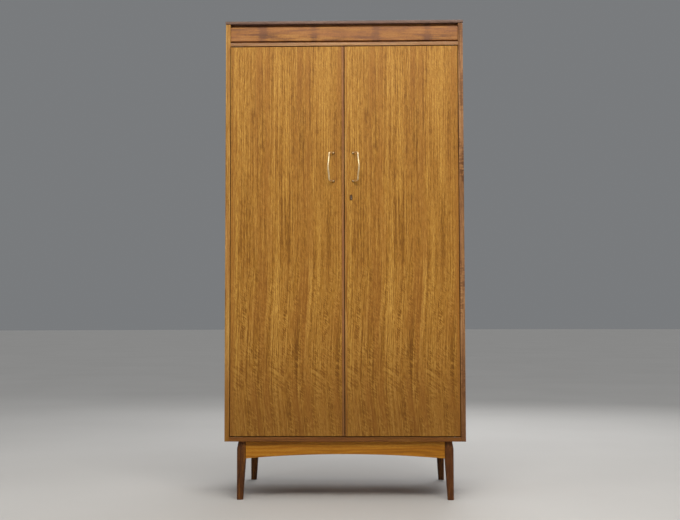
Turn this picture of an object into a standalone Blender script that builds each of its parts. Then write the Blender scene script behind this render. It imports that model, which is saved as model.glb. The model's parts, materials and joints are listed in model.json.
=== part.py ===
"""Two-door wardrobe on a separate leg stand, built piece by piece as a cabinet maker would.

Units are metres, +Z is up and the doors face -Y. The origin is on the floor, under the middle
of the whole box, handles included. Run it with: blender --background --python part.py
"""

import math

import bmesh
import bpy
from mathutils import Vector

# ---------------------------------------------------------------- driving sizes

# Carcass, over everything but the handles and the overhang of the top board
WIDTH = 0.915
DEPTH = 0.570
HEIGHT = 1.836
STAND_HEIGHT = 0.2205  # floor to the underside of the carcass

# Boards
SIDE_THICKNESS = 0.018
SIDE_LIPPING = 0.006  # solid strip on the front edge of each side
TOP_THICKNESS = 0.0115
TOP_OVERHANG = 0.0015
BOTTOM_THICKNESS = 0.0163
HEAD_THICKNESS = 0.013
BACK_THICKNESS = 0.004
BACK_RECESS = 0.0008  # back panel, in from the rear edges of the carcass
BACK_REBATE = 0.008  # width of the step in each side that holds the back panel

# Fascia between the top board and the head panel, with a shadow gap above and below
FASCIA_HEIGHT = 0.054
FASCIA_THICKNESS = 0.022
FASCIA_RECESS = 0.006
UPPER_SHADOW_GAP = 0.0105
LOWER_SHADOW_GAP = 0.008
SHADOW_GAP_DEPTH = 0.012

# Doors
DOOR_THICKNESS = 0.018
DOOR_RECESS = 0.001
DOOR_SIDE_GAP = 0.0025
DOOR_TOP_GAP = 0.0037
DOOR_BOTTOM_GAP = 0.0038
CENTRE_GAP = 0.003
MEETING_LIPPING = 0.008

# Pivot hinges, let into the top and bottom edges of the doors
PIVOT_INSET = 0.020  # from the door's hinge edge to the pin
PIVOT_SETBACK = 0.007  # from the door's front face to the pin
PIN_RADIUS = 0.0025
PIN_REACH = 0.010  # how far a pin goes into the door
PIN_CLEARANCE = 0.0004
BUSH_WALL = 0.0014
HINGE_PLATE_LENGTH = 0.044
HINGE_PLATE_WIDTH = 0.011
HINGE_PLATE_THICKNESS = 0.0025
HINGE_PLATE_MARGIN = 0.004  # from the door's hinge edge to the plate

# Bow handles of brass rod
HANDLE_LEVEL = 1.2670  # height of the middle of the grip
HANDLE_SPACING = 0.1090  # between the two feet
HANDLE_REACH = 0.0256  # from the door to the middle line of the grip
HANDLE_BULGE = 0.17  # how much of that reach the grip gains between its ends and its middle
HANDLE_ROD_RADIUS = 0.0030
HANDLE_CORNER_RADIUS = 0.008
HANDLE_FOOT_RADIUS = 0.0042
HANDLE_FOOT_LENGTH = 0.0065
HANDLE_ROOT = 0.004  # from the door to the start of the rod, inside its foot
HANDLE_FROM_CENTRE = {"left": 0.0415, "right": 0.033}
HANDLE_LEAN = {"left": 0.020, "right": 0.0235}  # how far each grip leans outwards
HANDLE_SCREW_RADIUS = 0.0016
HANDLE_SCREW_GRIP = 0.0048  # length of thread inside a foot
HANDLE_SCREW_HEAD_RADIUS = 0.0038
HANDLE_SCREW_HEAD_HEIGHT = 0.0022

# Lock in the right door
LOCK_LEVEL = 1.1535  # height of the key's centre line
LOCK_HEIGHT = 0.060
LOCK_WIDTH = 0.042
LOCK_THICKNESS = 0.0105
LOCK_PLATE = 0.0022  # wall of the case, in front of and behind the bolt
LOCK_BOLT_HEIGHT = 0.014
LOCK_BOLT_LENGTH = 0.024
LOCK_BOLT_ABOVE_KEY = 0.015
LOCK_BOLT_THROW = 0.009
KEYHOLE_FROM_EDGE = 0.0245
KEYHOLE_RADIUS = 0.0026
KEYHOLE_SLOT_WIDTH = 0.0028
KEYHOLE_SLOT_LENGTH = 0.0085
KEY_DEPTH = 0.006  # how far the key goes into the case
ESCUTCHEON_WIDTH = 0.011
ESCUTCHEON_HEIGHT = 0.023
ESCUTCHEON_THICKNESS = 0.0014
STRIKE_HEIGHT = 0.032
STRIKE_WIDTH = 0.0115
STRIKE_THICKNESS = 0.0012
MORTISE_CLEARANCE = 0.0006  # round a sliding bolt, in what it enters

# Sliding bolts on the inside of the left door
BOLT_FROM_EDGE = 0.030  # from the middle of the wardrobe to the rod
BOLT_PLATE_LENGTH = 0.078
BOLT_PLATE_WIDTH = 0.020
BOLT_PLATE_THICKNESS = 0.002
BOLT_GUIDE_LENGTH = 0.010
BOLT_GUIDE_HEIGHT = 0.010
BOLT_GUIDE_WALL = 0.0025  # beside the rod
BOLT_GUIDE_INSET = 0.003  # from the plate's end to the guide
BOLT_ROD_RADIUS = 0.003
BOLT_ROD_LENGTH = 0.076
BOLT_THROW = 0.012
BOLT_KNOB_RADIUS = 0.004
BOLT_KNOB_LENGTH = 0.009
BOLT_TIP_SETBACK = 0.0006  # rod's tip inside the door's edge when it is drawn back

# Stops for the doors, under the head panel
STOP_LENGTH = 0.170
STOP_WIDTH = 0.012
STOP_HEIGHT = 0.015
STOP_FROM_CENTRE = 0.080
STOP_CLEARANCE = 0.0006

# Hat shelf and hanging rail
SHELF_THICKNESS = 0.016
SHELF_DROP = 0.225  # from the head panel down to the shelf
SHELF_SETBACK = 0.050  # from the back of the doors
BATTEN_HEIGHT = 0.020
BATTEN_WIDTH = 0.016
BATTEN_MARGIN = 0.012  # batten's end, in from the shelf's front edge
RAIL_RADIUS = 0.0125
RAIL_WALL = 0.0012
RAIL_DROP = 0.062  # from the underside of the shelf to the rail's middle line
SOCKET_FLANGE_RADIUS = 0.023
SOCKET_FLANGE_THICKNESS = 0.003
SOCKET_WALL = 0.002
SOCKET_DEPTH = 0.014

# Stand
LEG_SIZE = 0.0335  # square section under the apron
LEG_FOOT_SIZE = 0.0235
LEG_TOP_INSET = 0.005  # the two outer faces lean in above the shoulder
LEG_SHOULDER_DROP = 0.0275  # from the underside of the carcass to the shoulder
LEG_ROUNDING = 0.006
LEG_ROUND_STEPS = 3
LEG_SIDE_SETBACK = 0.046
LEG_FRONT_SETBACK = 0.012
LEG_REAR_SETBACK = 0.012
APRON_HEIGHT = 0.0655
APRON_RISE = 0.0165  # the arch in the apron's lower edge
APRON_THICKNESS = 0.020
STAND_RAIL_HEIGHT = 0.050
RAIL_RECESS = 0.004  # apron and rail faces, in from the faces of the legs
TENON_THICKNESS = 0.008
TENON_HEIGHT = 0.030
TENON_SHOULDER = 0.012
TENON_WALL = 0.0015  # wood left between two tenons in a leg
CORNER_BLOCK_SIZE = 0.070
CORNER_BLOCK_HEIGHT = 0.026
STAND_SCREW_RADIUS = 0.0022
STAND_SCREW_BITE = 0.011  # length in the bottom board
STAND_SCREW_HEAD_RADIUS = 0.0045
STAND_SCREW_HEAD_HEIGHT = 0.0025

# Clearances
SEAT = 0.0003  # between two pieces that touch
FIT = 0.0003  # round a piece in its recess or hole
OVERRUN = 0.002  # how far a cutter runs past the face that it opens, and a joined shape into its piece

# Screw heads, as shares of the head's radius and height
SCREW_CROWN = 0.6
SCREW_RIM = 0.4

# How finely the curved faces are divided
ARCH_STEPS = 24
GRIP_STEPS = 8
CORNER_STEPS = 4
PLATE_END_STEPS = 8
ROUND_SIDES = 20
SMALL_ROUND_SIDES = 16
SCREW_SIDES = 12
ROD_SIDES = 10
SHARP_ANGLE = math.radians(40)
MERGE_DISTANCE = 1e-6

# ---------------------------------------------------------------- places worked out from the sizes

FRONT = (HANDLE_REACH + HANDLE_ROD_RADIUS - DOOR_RECESS - DEPTH) / 2
BACK = FRONT + DEPTH
INNER = WIDTH / 2 - SIDE_THICKNESS

TOP_UNDERSIDE = HEIGHT - TOP_THICKNESS
FASCIA_TOP = TOP_UNDERSIDE - UPPER_SHADOW_GAP
FASCIA_BOTTOM = FASCIA_TOP - FASCIA_HEIGHT
HEAD_TOP = FASCIA_BOTTOM - LOWER_SHADOW_GAP
HEAD_UNDERSIDE = HEAD_TOP - HEAD_THICKNESS
BOTTOM_TOP = STAND_HEIGHT + BOTTOM_THICKNESS
BACK_PANEL_REAR = BACK - BACK_RECESS
BACK_PANEL_FRONT = BACK_PANEL_REAR - BACK_THICKNESS

DOOR_TOP = HEAD_UNDERSIDE - DOOR_TOP_GAP
DOOR_BOTTOM = BOTTOM_TOP + DOOR_BOTTOM_GAP
DOOR_FRONT = FRONT + DOOR_RECESS
DOOR_BACK = DOOR_FRONT + DOOR_THICKNESS
DOOR_HINGE_EDGE = INNER - DOOR_SIDE_GAP
PIVOT_X = DOOR_HINGE_EDGE - PIVOT_INSET
PIVOT_Y = DOOR_FRONT + PIVOT_SETBACK

SHELF_TOP = HEAD_UNDERSIDE - SHELF_DROP
SHELF_UNDERSIDE = SHELF_TOP - SHELF_THICKNESS
SHELF_FRONT = DOOR_BACK + SHELF_SETBACK
RAIL_LEVEL = SHELF_UNDERSIDE - RAIL_DROP
RAIL_Y = (DOOR_BACK + BACK_PANEL_FRONT) / 2

STAND_TOP = STAND_HEIGHT - SEAT
LEG_OUTER = WIDTH / 2 - LEG_SIDE_SETBACK
LEG_FRONT = FRONT + LEG_FRONT_SETBACK
LEG_REAR = BACK - LEG_REAR_SETBACK
APRON_END = STAND_HEIGHT - APRON_HEIGHT

LOCK_EDGE = CENTRE_GAP / 2 + SEAT
KEYHOLE_X = CENTRE_GAP / 2 + KEYHOLE_FROM_EDGE
BOLT_Y = DOOR_BACK + SEAT + BOLT_PLATE_THICKNESS + BOLT_GUIDE_HEIGHT / 2

SIDES = (("left", -1), ("right", 1))
LEVELS = (("upper", 1), ("lower", -1))
ENDS = (("front", -1), ("rear", 1))

X, Y, Z = Vector((1, 0, 0)), Vector((0, 1, 0)), Vector((0, 0, 1))


# ---------------------------------------------------------------- tools


def clear_scene():
    for obj in list(bpy.data.objects):
        bpy.data.objects.remove(obj, do_unlink=True)


def finish(name, colour, roughness, metallic=0.0):
    """A plain material of one colour."""
    material = bpy.data.materials.new(name)
    material.use_nodes = True
    shader = material.node_tree.nodes["Principled BSDF"]
    shader.inputs["Base Color"].default_value = (*colour, 1)
    shader.inputs["Roughness"].default_value = roughness
    shader.inputs["Metallic"].default_value = metallic
    return material


def mesh_of(bm, smooth=False):
    bmesh.ops.recalc_face_normals(bm, faces=bm.faces)
    mesh = bpy.data.meshes.new("shape")
    bm.to_mesh(mesh)
    bm.free()
    if smooth:
        mesh.shade_smooth()
        mesh.set_sharp_from_angle(angle=SHARP_ANGLE)
    return mesh


def block(corner, opposite):
    """A box between two opposite corners. Each shape is a mesh and the place of its origin."""
    corner, opposite = Vector(corner), Vector(opposite)
    bm = bmesh.new()
    bmesh.ops.create_cube(bm, size=1)
    size = Vector([abs(length) for length in opposite - corner])
    bmesh.ops.scale(bm, vec=size, verts=bm.verts)
    return mesh_of(bm), (corner + opposite) / 2


def rod(start, end, radius, sides=ROUND_SIDES):
    """A cylinder from one point to another."""
    start, end = Vector(start), Vector(end)
    bm = bmesh.new()
    bmesh.ops.create_cone(
        bm, cap_ends=True, segments=sides, radius1=radius, radius2=radius, depth=(end - start).length
    )
    turn = Z.rotation_difference(end - start).to_matrix()
    bmesh.ops.rotate(bm, cent=(0, 0, 0), matrix=turn, verts=bm.verts)
    return mesh_of(bm, smooth=True), (start + end) / 2


def prism(outline, start, along):
    """A flat outline, placed with its first corner's origin at start, drawn out by a vector."""
    bm = bmesh.new()
    face = bm.faces.new([bm.verts.new(corner) for corner in outline])
    drawn = bmesh.ops.extrude_face_region(bm, geom=[face])
    top = [item for item in drawn["geom"] if isinstance(item, bmesh.types.BMVert)]
    bmesh.ops.translate(bm, vec=Vector(along), verts=top)
    return mesh_of(bm), Vector(start)


def turned(profile, start, direction, closed=False, sides=ROUND_SIDES):
    """A round shape from (radius, distance) corners, turned about a line from start."""
    bm = bmesh.new()
    verts = [bm.verts.new((radius, 0, height)) for radius, height in profile]
    for first, second in zip(verts, verts[1:]):
        bm.edges.new((first, second))
    if closed:
        bm.edges.new((verts[-1], verts[0]))
    bmesh.ops.spin(
        bm,
        geom=bm.verts[:] + bm.edges[:],
        cent=(0, 0, 0),
        axis=Z,
        angle=math.tau,
        steps=sides,
        use_merge=True,
    )
    bmesh.ops.remove_doubles(bm, verts=bm.verts, dist=MERGE_DISTANCE)
    turn = Z.rotation_difference(Vector(direction)).to_matrix()
    bmesh.ops.rotate(bm, cent=(0, 0, 0), matrix=turn, verts=bm.verts)
    return mesh_of(bm, smooth=True), Vector(start)


def screw_profile(thread_radius, length, head_radius, head_height):
    """(radius, distance) corners of a screw: its head before 0, its thread after."""
    return (
        (0, -head_height),
        (head_radius * SCREW_CROWN, -head_height),
        (head_radius, -head_height * SCREW_RIM),
        (head_radius, 0),
        (thread_radius, 0),
        (thread_radius, length),
        (0, length),
    )


def piece(name, shape, material, parent=None):
    """One named piece of the wardrobe."""
    mesh, place = shape
    mesh.name = name
    mesh.materials.append(material)
    obj = bpy.data.objects.new(name, mesh)
    bpy.context.collection.objects.link(obj)
    obj.parent = parent
    obj.location = place - parent.location if parent else place
    return obj


def shape_modifier(target, shape, operation):
    mesh, place = shape
    helper = bpy.data.objects.new(f"{target.name}_{operation.lower()}", mesh)
    bpy.context.collection.objects.link(helper)
    helper.hide_render = True
    helper.display_type = "WIRE"
    helper.parent = target.parent
    helper.location = place - target.parent.location if target.parent else place
    modifier = target.modifiers.new(operation.title(), "BOOLEAN")
    modifier.operation = operation
    modifier.object = helper


def cut(target, *shapes):
    for shape in shapes:
        shape_modifier(target, shape, "DIFFERENCE")


def fuse(target, *shapes):
    for shape in shapes:
        shape_modifier(target, shape, "UNION")


def axis_marker(name, place):
    """An empty on a joint's axis, to carry what turns about it."""
    empty = bpy.data.objects.new(name, None)
    bpy.context.collection.objects.link(empty)
    empty.location = place
    return empty


# ---------------------------------------------------------------- carcass


def build_sides(veneer, lipping):
    for name, side in SIDES:
        board = piece(
            f"{name}_side",
            block(
                (side * WIDTH / 2, FRONT + SIDE_LIPPING + SEAT, STAND_HEIGHT),
                (side * INNER, BACK, TOP_UNDERSIDE - SEAT),
            ),
            veneer,
        )
        rebate = block(
            (side * (INNER + BACK_REBATE), BACK_PANEL_FRONT - SEAT, STAND_HEIGHT - OVERRUN),
            (side * (INNER - OVERRUN), BACK + OVERRUN, HEIGHT),
        )
        cut(board, rebate)
        strip = block(
            (side * WIDTH / 2, FRONT, STAND_HEIGHT),
            (side * INNER, FRONT + SIDE_LIPPING, TOP_UNDERSIDE - SEAT),
        )
        piece(f"{name}_side_lipping", strip, lipping)


def build_top(veneer):
    half = WIDTH / 2 + TOP_OVERHANG
    board = block((-half, FRONT - TOP_OVERHANG, TOP_UNDERSIDE), (half, BACK, HEIGHT))
    piece("top_board", board, veneer)


def build_head_panel(veneer):
    half = INNER - SEAT
    rear = BACK_PANEL_FRONT - SEAT
    board = block((-half, DOOR_FRONT, HEAD_UNDERSIDE), (half, rear, HEAD_TOP))
    return piece("head_panel", board, veneer)


def build_fascia(veneer):
    """A board stepped back at its top and bottom, which makes the two shadow gaps."""
    face = FRONT + FASCIA_RECESS
    step = face + SHADOW_GAP_DEPTH
    rear = face + FASCIA_THICKNESS
    corners = (
        (face, FASCIA_BOTTOM),
        (face, FASCIA_TOP),
        (step, FASCIA_TOP),
        (step, TOP_UNDERSIDE - SEAT),
        (rear, TOP_UNDERSIDE - SEAT),
        (rear, HEAD_TOP + SEAT),
        (step, HEAD_TOP + SEAT),
        (step, FASCIA_BOTTOM),
    )
    outline = [(0, y, z) for y, z in corners]
    length = 2 * (INNER - SEAT)
    piece("fascia", prism(outline, (-length / 2, 0, 0), X * length), veneer)


def build_bottom_board(veneer):
    half = INNER - SEAT
    rear = BACK_PANEL_FRONT - SEAT
    board = block((-half, DOOR_FRONT, STAND_HEIGHT), (half, rear, BOTTOM_TOP))
    return piece("bottom_board", board, veneer)


def build_back_panel(plywood):
    half = INNER + BACK_REBATE - SEAT
    low = (-half, BACK_PANEL_FRONT, STAND_HEIGHT + SEAT)
    high = (half, BACK_PANEL_REAR, TOP_UNDERSIDE - SEAT)
    piece("back_panel", block(low, high), plywood)


def build_door_stops(wood):
    top = HEAD_UNDERSIDE - SEAT
    front = DOOR_BACK + STOP_CLEARANCE
    for name, side in SIDES:
        low = (side * STOP_FROM_CENTRE, front, top - STOP_HEIGHT)
        high = (side * (STOP_FROM_CENTRE + STOP_LENGTH), front + STOP_WIDTH, top)
        piece(f"{name}_door_stop", block(low, high), wood)


def build_hat_shelf(plywood, wood):
    half = INNER - SEAT
    rear = BACK_PANEL_FRONT - SEAT
    shelf = block((-half, SHELF_FRONT, SHELF_UNDERSIDE), (half, rear, SHELF_TOP))
    piece("hat_shelf", shelf, plywood)
    top = SHELF_UNDERSIDE - SEAT
    for name, side in SIDES:
        low = (side * half, SHELF_FRONT + BATTEN_MARGIN, top - BATTEN_HEIGHT)
        high = (side * (half - BATTEN_WIDTH), rear, top)
        piece(f"{name}_shelf_batten", block(low, high), wood)


def build_hanging_rail(steel):
    bore = RAIL_RADIUS + FIT
    ring = bore + SOCKET_WALL
    deep = SOCKET_FLANGE_THICKNESS + SOCKET_DEPTH
    cup = (
        (0, 0),
        (SOCKET_FLANGE_RADIUS, 0),
        (SOCKET_FLANGE_RADIUS, SOCKET_FLANGE_THICKNESS),
        (ring, SOCKET_FLANGE_THICKNESS),
        (ring, deep),
        (bore, deep),
        (bore, SOCKET_FLANGE_THICKNESS),
        (0, SOCKET_FLANGE_THICKNESS),
    )
    for name, side in SIDES:
        face = Vector((side * (INNER - SEAT), RAIL_Y, RAIL_LEVEL))
        piece(f"{name}_rail_socket", turned(cup, face, -side * X), steel)
    half = INNER - SEAT - SOCKET_FLANGE_THICKNESS - SEAT
    inside = RAIL_RADIUS - RAIL_WALL
    tube = ((RAIL_RADIUS, 0), (RAIL_RADIUS, 2 * half), (inside, 2 * half), (inside, 0))
    start = Vector((-half, RAIL_Y, RAIL_LEVEL))
    piece("hanging_rail", turned(tube, start, X, closed=True), steel)


# ---------------------------------------------------------------- stand


def leg_shape(side, end):
    """A square leg: inner faces tapered to the foot, outer faces leaning in at the top."""
    outer = Vector((side * LEG_OUTER, LEG_FRONT if end < 0 else LEG_REAR))
    inward = Vector((-side, -end))
    levels = (
        (0, 0, LEG_FOOT_SIZE),
        (APRON_END, 0, LEG_SIZE),
        (STAND_HEIGHT - LEG_SHOULDER_DROP, 0, LEG_SIZE),
        (STAND_TOP, LEG_TOP_INSET, LEG_SIZE),
    )
    bm = bmesh.new()
    face = None
    for height, near, far in levels:
        near_corner, far_corner = outer + inward * near, outer + inward * far
        corners = (
            (near_corner.x, near_corner.y, height),
            (far_corner.x, near_corner.y, height),
            (far_corner.x, far_corner.y, height),
            (near_corner.x, far_corner.y, height),
        )
        if face is None:
            face = bm.faces.new([bm.verts.new(corner) for corner in corners])
            continue
        below = face
        raised = bmesh.ops.extrude_face_region(bm, geom=[below])["geom"]
        face = next(item for item in raised if isinstance(item, bmesh.types.BMFace))
        if height > APRON_END:
            bmesh.ops.delete(bm, geom=[below], context="FACES_ONLY")
        for vert, corner in zip(face.verts, corners):
            vert.co = corner
    upright = [edge for edge in bm.edges if abs((edge.verts[0].co - edge.verts[1].co).z) > LEG_ROUNDING]
    bmesh.ops.recalc_face_normals(bm, faces=bm.faces)
    bmesh.ops.bevel(
        bm,
        geom=upright,
        offset=LEG_ROUNDING,
        segments=LEG_ROUND_STEPS,
        profile=0.5,
        affect="EDGES",
        material=-1,
    )
    return mesh_of(bm, smooth=True), Vector((0, 0, 0))


def tenon_length(thickness):
    """A tenon stops short of the one that enters the same leg from the side."""
    return LEG_SIZE - (RAIL_RECESS + thickness / 2 + TENON_THICKNESS / 2) - TENON_WALL


def tenon_shape(shoulder, into, across, thickness, clearance=0.0):
    """The tenon on a rail's end: shoulder is the rail's end face at its middle line and top."""
    top = shoulder.z - TENON_SHOULDER
    near = shoulder - into * OVERRUN
    far = shoulder + into * (tenon_length(thickness) + clearance)
    half = across * (TENON_THICKNESS / 2 + clearance)
    return block(
        (*(near - half).xy, top + clearance), (*(far + half).xy, top - TENON_HEIGHT - clearance)
    )


def build_apron(name, end, legs, wood):
    """A board between two legs, with an arched lower edge and a tenon at each end."""
    half = LEG_OUTER - LEG_SIZE - SEAT
    outer = LEG_FRONT if end < 0 else LEG_REAR
    face = outer - end * RAIL_RECESS
    middle = face - end * APRON_THICKNESS / 2
    radius = (half**2 + APRON_RISE**2) / (2 * APRON_RISE)
    swing = math.asin(half / radius)
    angles = [swing * (2 * step / ARCH_STEPS - 1) for step in range(ARCH_STEPS + 1)]
    crown = APRON_END + APRON_RISE - radius
    arch = [(radius * math.sin(angle), 0, crown + radius * math.cos(angle)) for angle in angles]
    outline = arch + [(half, 0, STAND_TOP), (-half, 0, STAND_TOP)]
    start = (0, min(face, face - end * APRON_THICKNESS), 0)
    apron = piece(name, prism(outline, start, Y * APRON_THICKNESS), wood)
    for side, leg in zip((-1, 1), legs):
        shoulder = Vector((side * half, middle, STAND_TOP))
        fuse(apron, tenon_shape(shoulder, side * X, Y, APRON_THICKNESS))
        cut(leg, tenon_shape(shoulder, side * X, Y, APRON_THICKNESS, FIT))


def build_stand_rail(name, side, legs, wood):
    """A straight rail between a front leg and a rear leg."""
    ends = (LEG_FRONT + LEG_SIZE + SEAT, LEG_REAR - LEG_SIZE - SEAT)
    face = side * (LEG_OUTER - RAIL_RECESS)
    middle = face - side * APRON_THICKNESS / 2
    low = (face, ends[0], STAND_TOP - STAND_RAIL_HEIGHT)
    high = (face - side * APRON_THICKNESS, ends[1], STAND_TOP)
    rail = piece(name, block(low, high), wood)
    for end, place, leg in zip((-1, 1), ends, legs):
        shoulder = Vector((middle, place, STAND_TOP))
        fuse(rail, tenon_shape(shoulder, end * Y, X, APRON_THICKNESS))
        cut(leg, tenon_shape(shoulder, end * Y, X, APRON_THICKNESS, FIT))


def build_corner(name, side, end, bottom_board, wood, steel):
    """A block glued across a corner of the stand, and the screw that holds the carcass down."""
    inner_x = side * (LEG_OUTER - RAIL_RECESS - APRON_THICKNESS - SEAT)
    outer_y = LEG_FRONT if end < 0 else LEG_REAR
    inner_y = outer_y - end * (RAIL_RECESS + APRON_THICKNESS + SEAT)
    notch = LEG_SIZE - RAIL_RECESS - APRON_THICKNESS
    size = CORNER_BLOCK_SIZE
    plan = ((notch, 0), (size, 0), (0, size), (0, notch), (notch, notch))
    outline = [(-side * x, -end * y, 0) for x, y in plan]
    underside = STAND_TOP - CORNER_BLOCK_HEIGHT
    corner_block = piece(
        f"{name}_corner_block",
        prism(outline, (inner_x, inner_y, underside), Z * CORNER_BLOCK_HEIGHT),
        wood,
    )
    middle = (notch + size) / 3  # the block is nearly a triangle, with its weight a third of the way in
    head = Vector((inner_x - side * middle, inner_y - end * middle, underside - SEAT))
    length = SEAT + CORNER_BLOCK_HEIGHT + SEAT + STAND_SCREW_BITE
    profile = screw_profile(
        STAND_SCREW_RADIUS, length, STAND_SCREW_HEAD_RADIUS, STAND_SCREW_HEAD_HEIGHT
    )
    piece(f"{name}_stand_screw", turned(profile, head, Z, sides=SCREW_SIDES), steel)
    hole_end = head + Z * (length + FIT)
    hole = rod(head - Z * OVERRUN, hole_end, STAND_SCREW_RADIUS + FIT, SCREW_SIDES)
    cut(corner_block, hole)
    cut(bottom_board, (hole[0].copy(), hole[1]))


def build_stand(bottom_board, wood, apron_wood, steel):
    legs = {}
    for end_name, end in ENDS:
        for side_name, side in SIDES:
            name = f"{end_name}_{side_name}_leg"
            legs[end, side] = piece(name, leg_shape(side, end), wood)
    for end_name, end in ENDS:
        build_apron(f"{end_name}_apron", end, (legs[end, -1], legs[end, 1]), apron_wood)
    for side_name, side in SIDES:
        build_stand_rail(f"{side_name}_stand_rail", side, (legs[-1, side], legs[1, side]), apron_wood)
    for end_name, end in ENDS:
        for side_name, side in SIDES:
            build_corner(f"{end_name}_{side_name}", side, end, bottom_board, apron_wood, steel)


# ---------------------------------------------------------------- doors


def build_door(name, side, axis, veneer, lipping):
    """A veneered panel with a solid strip down its meeting edge."""
    meeting = CENTRE_GAP / 2
    joint = meeting + MEETING_LIPPING

    def upright(near, far):
        return block((side * near, DOOR_FRONT, DOOR_BOTTOM), (side * far, DOOR_BACK, DOOR_TOP))

    panel = piece(f"{name}_door", upright(joint + SEAT, DOOR_HINGE_EDGE), veneer, axis)
    strip = piece(f"{name}_meeting_lipping", upright(meeting, joint), lipping, axis)
    return panel, strip


def hinge_plate_corners(side, edge, level, spread=0.0, deeper=0.0):
    """Corners of a hinge plate let into a horizontal face at edge, upwards or downwards by level."""
    near = DOOR_HINGE_EDGE - HINGE_PLATE_MARGIN + spread
    far = near - HINGE_PLATE_LENGTH - 2 * spread
    half = HINGE_PLATE_WIDTH / 2 + spread
    depth = HINGE_PLATE_THICKNESS + deeper
    return (
        (side * near, PIVOT_Y - half, edge),
        (side * far, PIVOT_Y + half, edge + level * depth),
    )


def recess(side, edge, level):
    """The pocket for a hinge plate, open at the face that it is let into."""
    low, high = hinge_plate_corners(side, edge, level, FIT, SEAT)
    return block((*low[:2], edge - level * OVERRUN), high)


def build_hinge(name, side, level, carcass_board, door, axis, steel):
    """A plate with a pin in the carcass, and a plate with a bush in the door's edge."""
    carcass_face = HEAD_UNDERSIDE if level > 0 else BOTTOM_TOP
    door_face = DOOR_TOP if level > 0 else DOOR_BOTTOM
    pivot = Vector((side * PIVOT_X, PIVOT_Y, 0))
    pin_plate = piece(
        f"{name}_hinge_pin_plate", block(*hinge_plate_corners(side, carcass_face, level)), steel
    )
    pin_root = pivot + Z * (carcass_face + level * HINGE_PLATE_THICKNESS / 2)
    pin_tip = pivot + Z * (door_face - level * PIN_REACH)
    fuse(pin_plate, rod(pin_root, pin_tip, PIN_RADIUS, SMALL_ROUND_SIDES))
    cut(carcass_board, recess(side, carcass_face, level))

    bore = PIN_RADIUS + PIN_CLEARANCE
    bush = bore + BUSH_WALL
    socket_plate = piece(
        f"{name}_hinge_bush_plate",
        block(*hinge_plate_corners(side, door_face, -level)),
        steel,
        axis,
    )
    bush_start = pivot + Z * (door_face - level * HINGE_PLATE_THICKNESS / 2)
    bush_end = pivot + Z * (door_face - level * (PIN_REACH + OVERRUN))
    fuse(socket_plate, rod(bush_start, bush_end, bush, SMALL_ROUND_SIDES))
    open_end = pivot + Z * (door_face + level * OVERRUN)
    cut(socket_plate, rod(open_end, bush_end - Z * level * OVERRUN, bore, SMALL_ROUND_SIDES))
    cut(door, recess(side, door_face, -level))
    cut(door, rod(open_end, bush_end - Z * level * SEAT, bush + FIT, SMALL_ROUND_SIDES))


def bow_path(name):
    """Points along a handle's middle line, as (distance along its tilted plane, height)."""
    lean, reach = HANDLE_LEAN[name], HANDLE_REACH
    full = math.hypot(lean, reach)
    shoulder = full * (1 - HANDLE_BULGE)
    half = HANDLE_SPACING / 2
    corner = HANDLE_CORNER_RADIUS
    lower = [(HANDLE_ROOT, -half)]
    for step in range(CORNER_STEPS + 1):
        turn = math.radians(90 * step / CORNER_STEPS)
        lower.append(
            (shoulder - corner + corner * math.sin(turn), -half + corner - corner * math.cos(turn))
        )
    straight = half - corner
    grip = []
    for step in range(1, GRIP_STEPS):
        height = straight * (2 * step / GRIP_STEPS - 1)
        swell = math.cos(math.pi / 2 * height / straight) ** 2
        grip.append((shoulder + (full - shoulder) * swell, height))
    upper = [(distance, -height) for distance, height in reversed(lower)]
    return lower + grip + upper


def swept_rod(points, radius):
    """A round bar along points, as a mesh with closed ends."""
    curve = bpy.data.curves.new("bar", "CURVE")
    curve.dimensions = "3D"
    curve.bevel_depth = radius
    curve.bevel_resolution = (ROD_SIDES - 4) // 2
    curve.use_fill_caps = True
    line = curve.splines.new("POLY")
    line.points.add(len(points) - 1)
    for target, point in zip(line.points, points):
        target.co = (*point, 1)
    guide = bpy.data.objects.new("bar", curve)
    mesh = bpy.data.meshes.new_from_object(guide)
    bpy.data.objects.remove(guide)
    bm = bmesh.new()
    bm.from_mesh(mesh)
    bmesh.ops.remove_doubles(bm, verts=bm.verts, dist=MERGE_DISTANCE)
    return mesh_of(bm, smooth=True), Vector((0, 0, 0))


def build_handle(name, side, axis, door, brass, steel):
    """A bow handle with a foot at each end, and the screws that hold it from inside the door."""
    foot_x = side * HANDLE_FROM_CENTRE[name]
    angle = math.atan2(HANDLE_LEAN[name], HANDLE_REACH)
    out = Vector((side * math.sin(angle), -math.cos(angle), 0))
    origin = Vector((foot_x, DOOR_FRONT, HANDLE_LEVEL))
    points = [origin + out * distance + Z * height for distance, height in bow_path(name)]
    handle = piece(f"{name}_handle", swept_rod(points, HANDLE_ROD_RADIUS), brass, axis)
    for level_name, level in LEVELS:
        foot = origin + Z * level * HANDLE_SPACING / 2
        seat = foot - Y * SEAT
        foot_end = seat - Y * HANDLE_FOOT_LENGTH
        fuse(handle, rod(seat, foot_end, HANDLE_FOOT_RADIUS, SMALL_ROUND_SIDES))
        screw_end = seat - Y * HANDLE_SCREW_GRIP
        bore = HANDLE_SCREW_RADIUS + FIT
        cut(handle, rod(seat + Y * OVERRUN, screw_end - Y * FIT, bore, SCREW_SIDES))
        inside = foot + Y * (DOOR_THICKNESS + OVERRUN)
        cut(door, rod(foot - Y * OVERRUN, inside, bore, SCREW_SIDES))
        head = Vector((foot.x, DOOR_BACK + SEAT, foot.z))
        profile = screw_profile(
            HANDLE_SCREW_RADIUS,
            (head - screw_end).length,
            HANDLE_SCREW_HEAD_RADIUS,
            HANDLE_SCREW_HEAD_HEIGHT,
        )
        screw = turned(profile, head, -Y, sides=SCREW_SIDES)
        piece(f"{name}_handle_{level_name}_screw", screw, steel, axis)


# ---------------------------------------------------------------- lock


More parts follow.
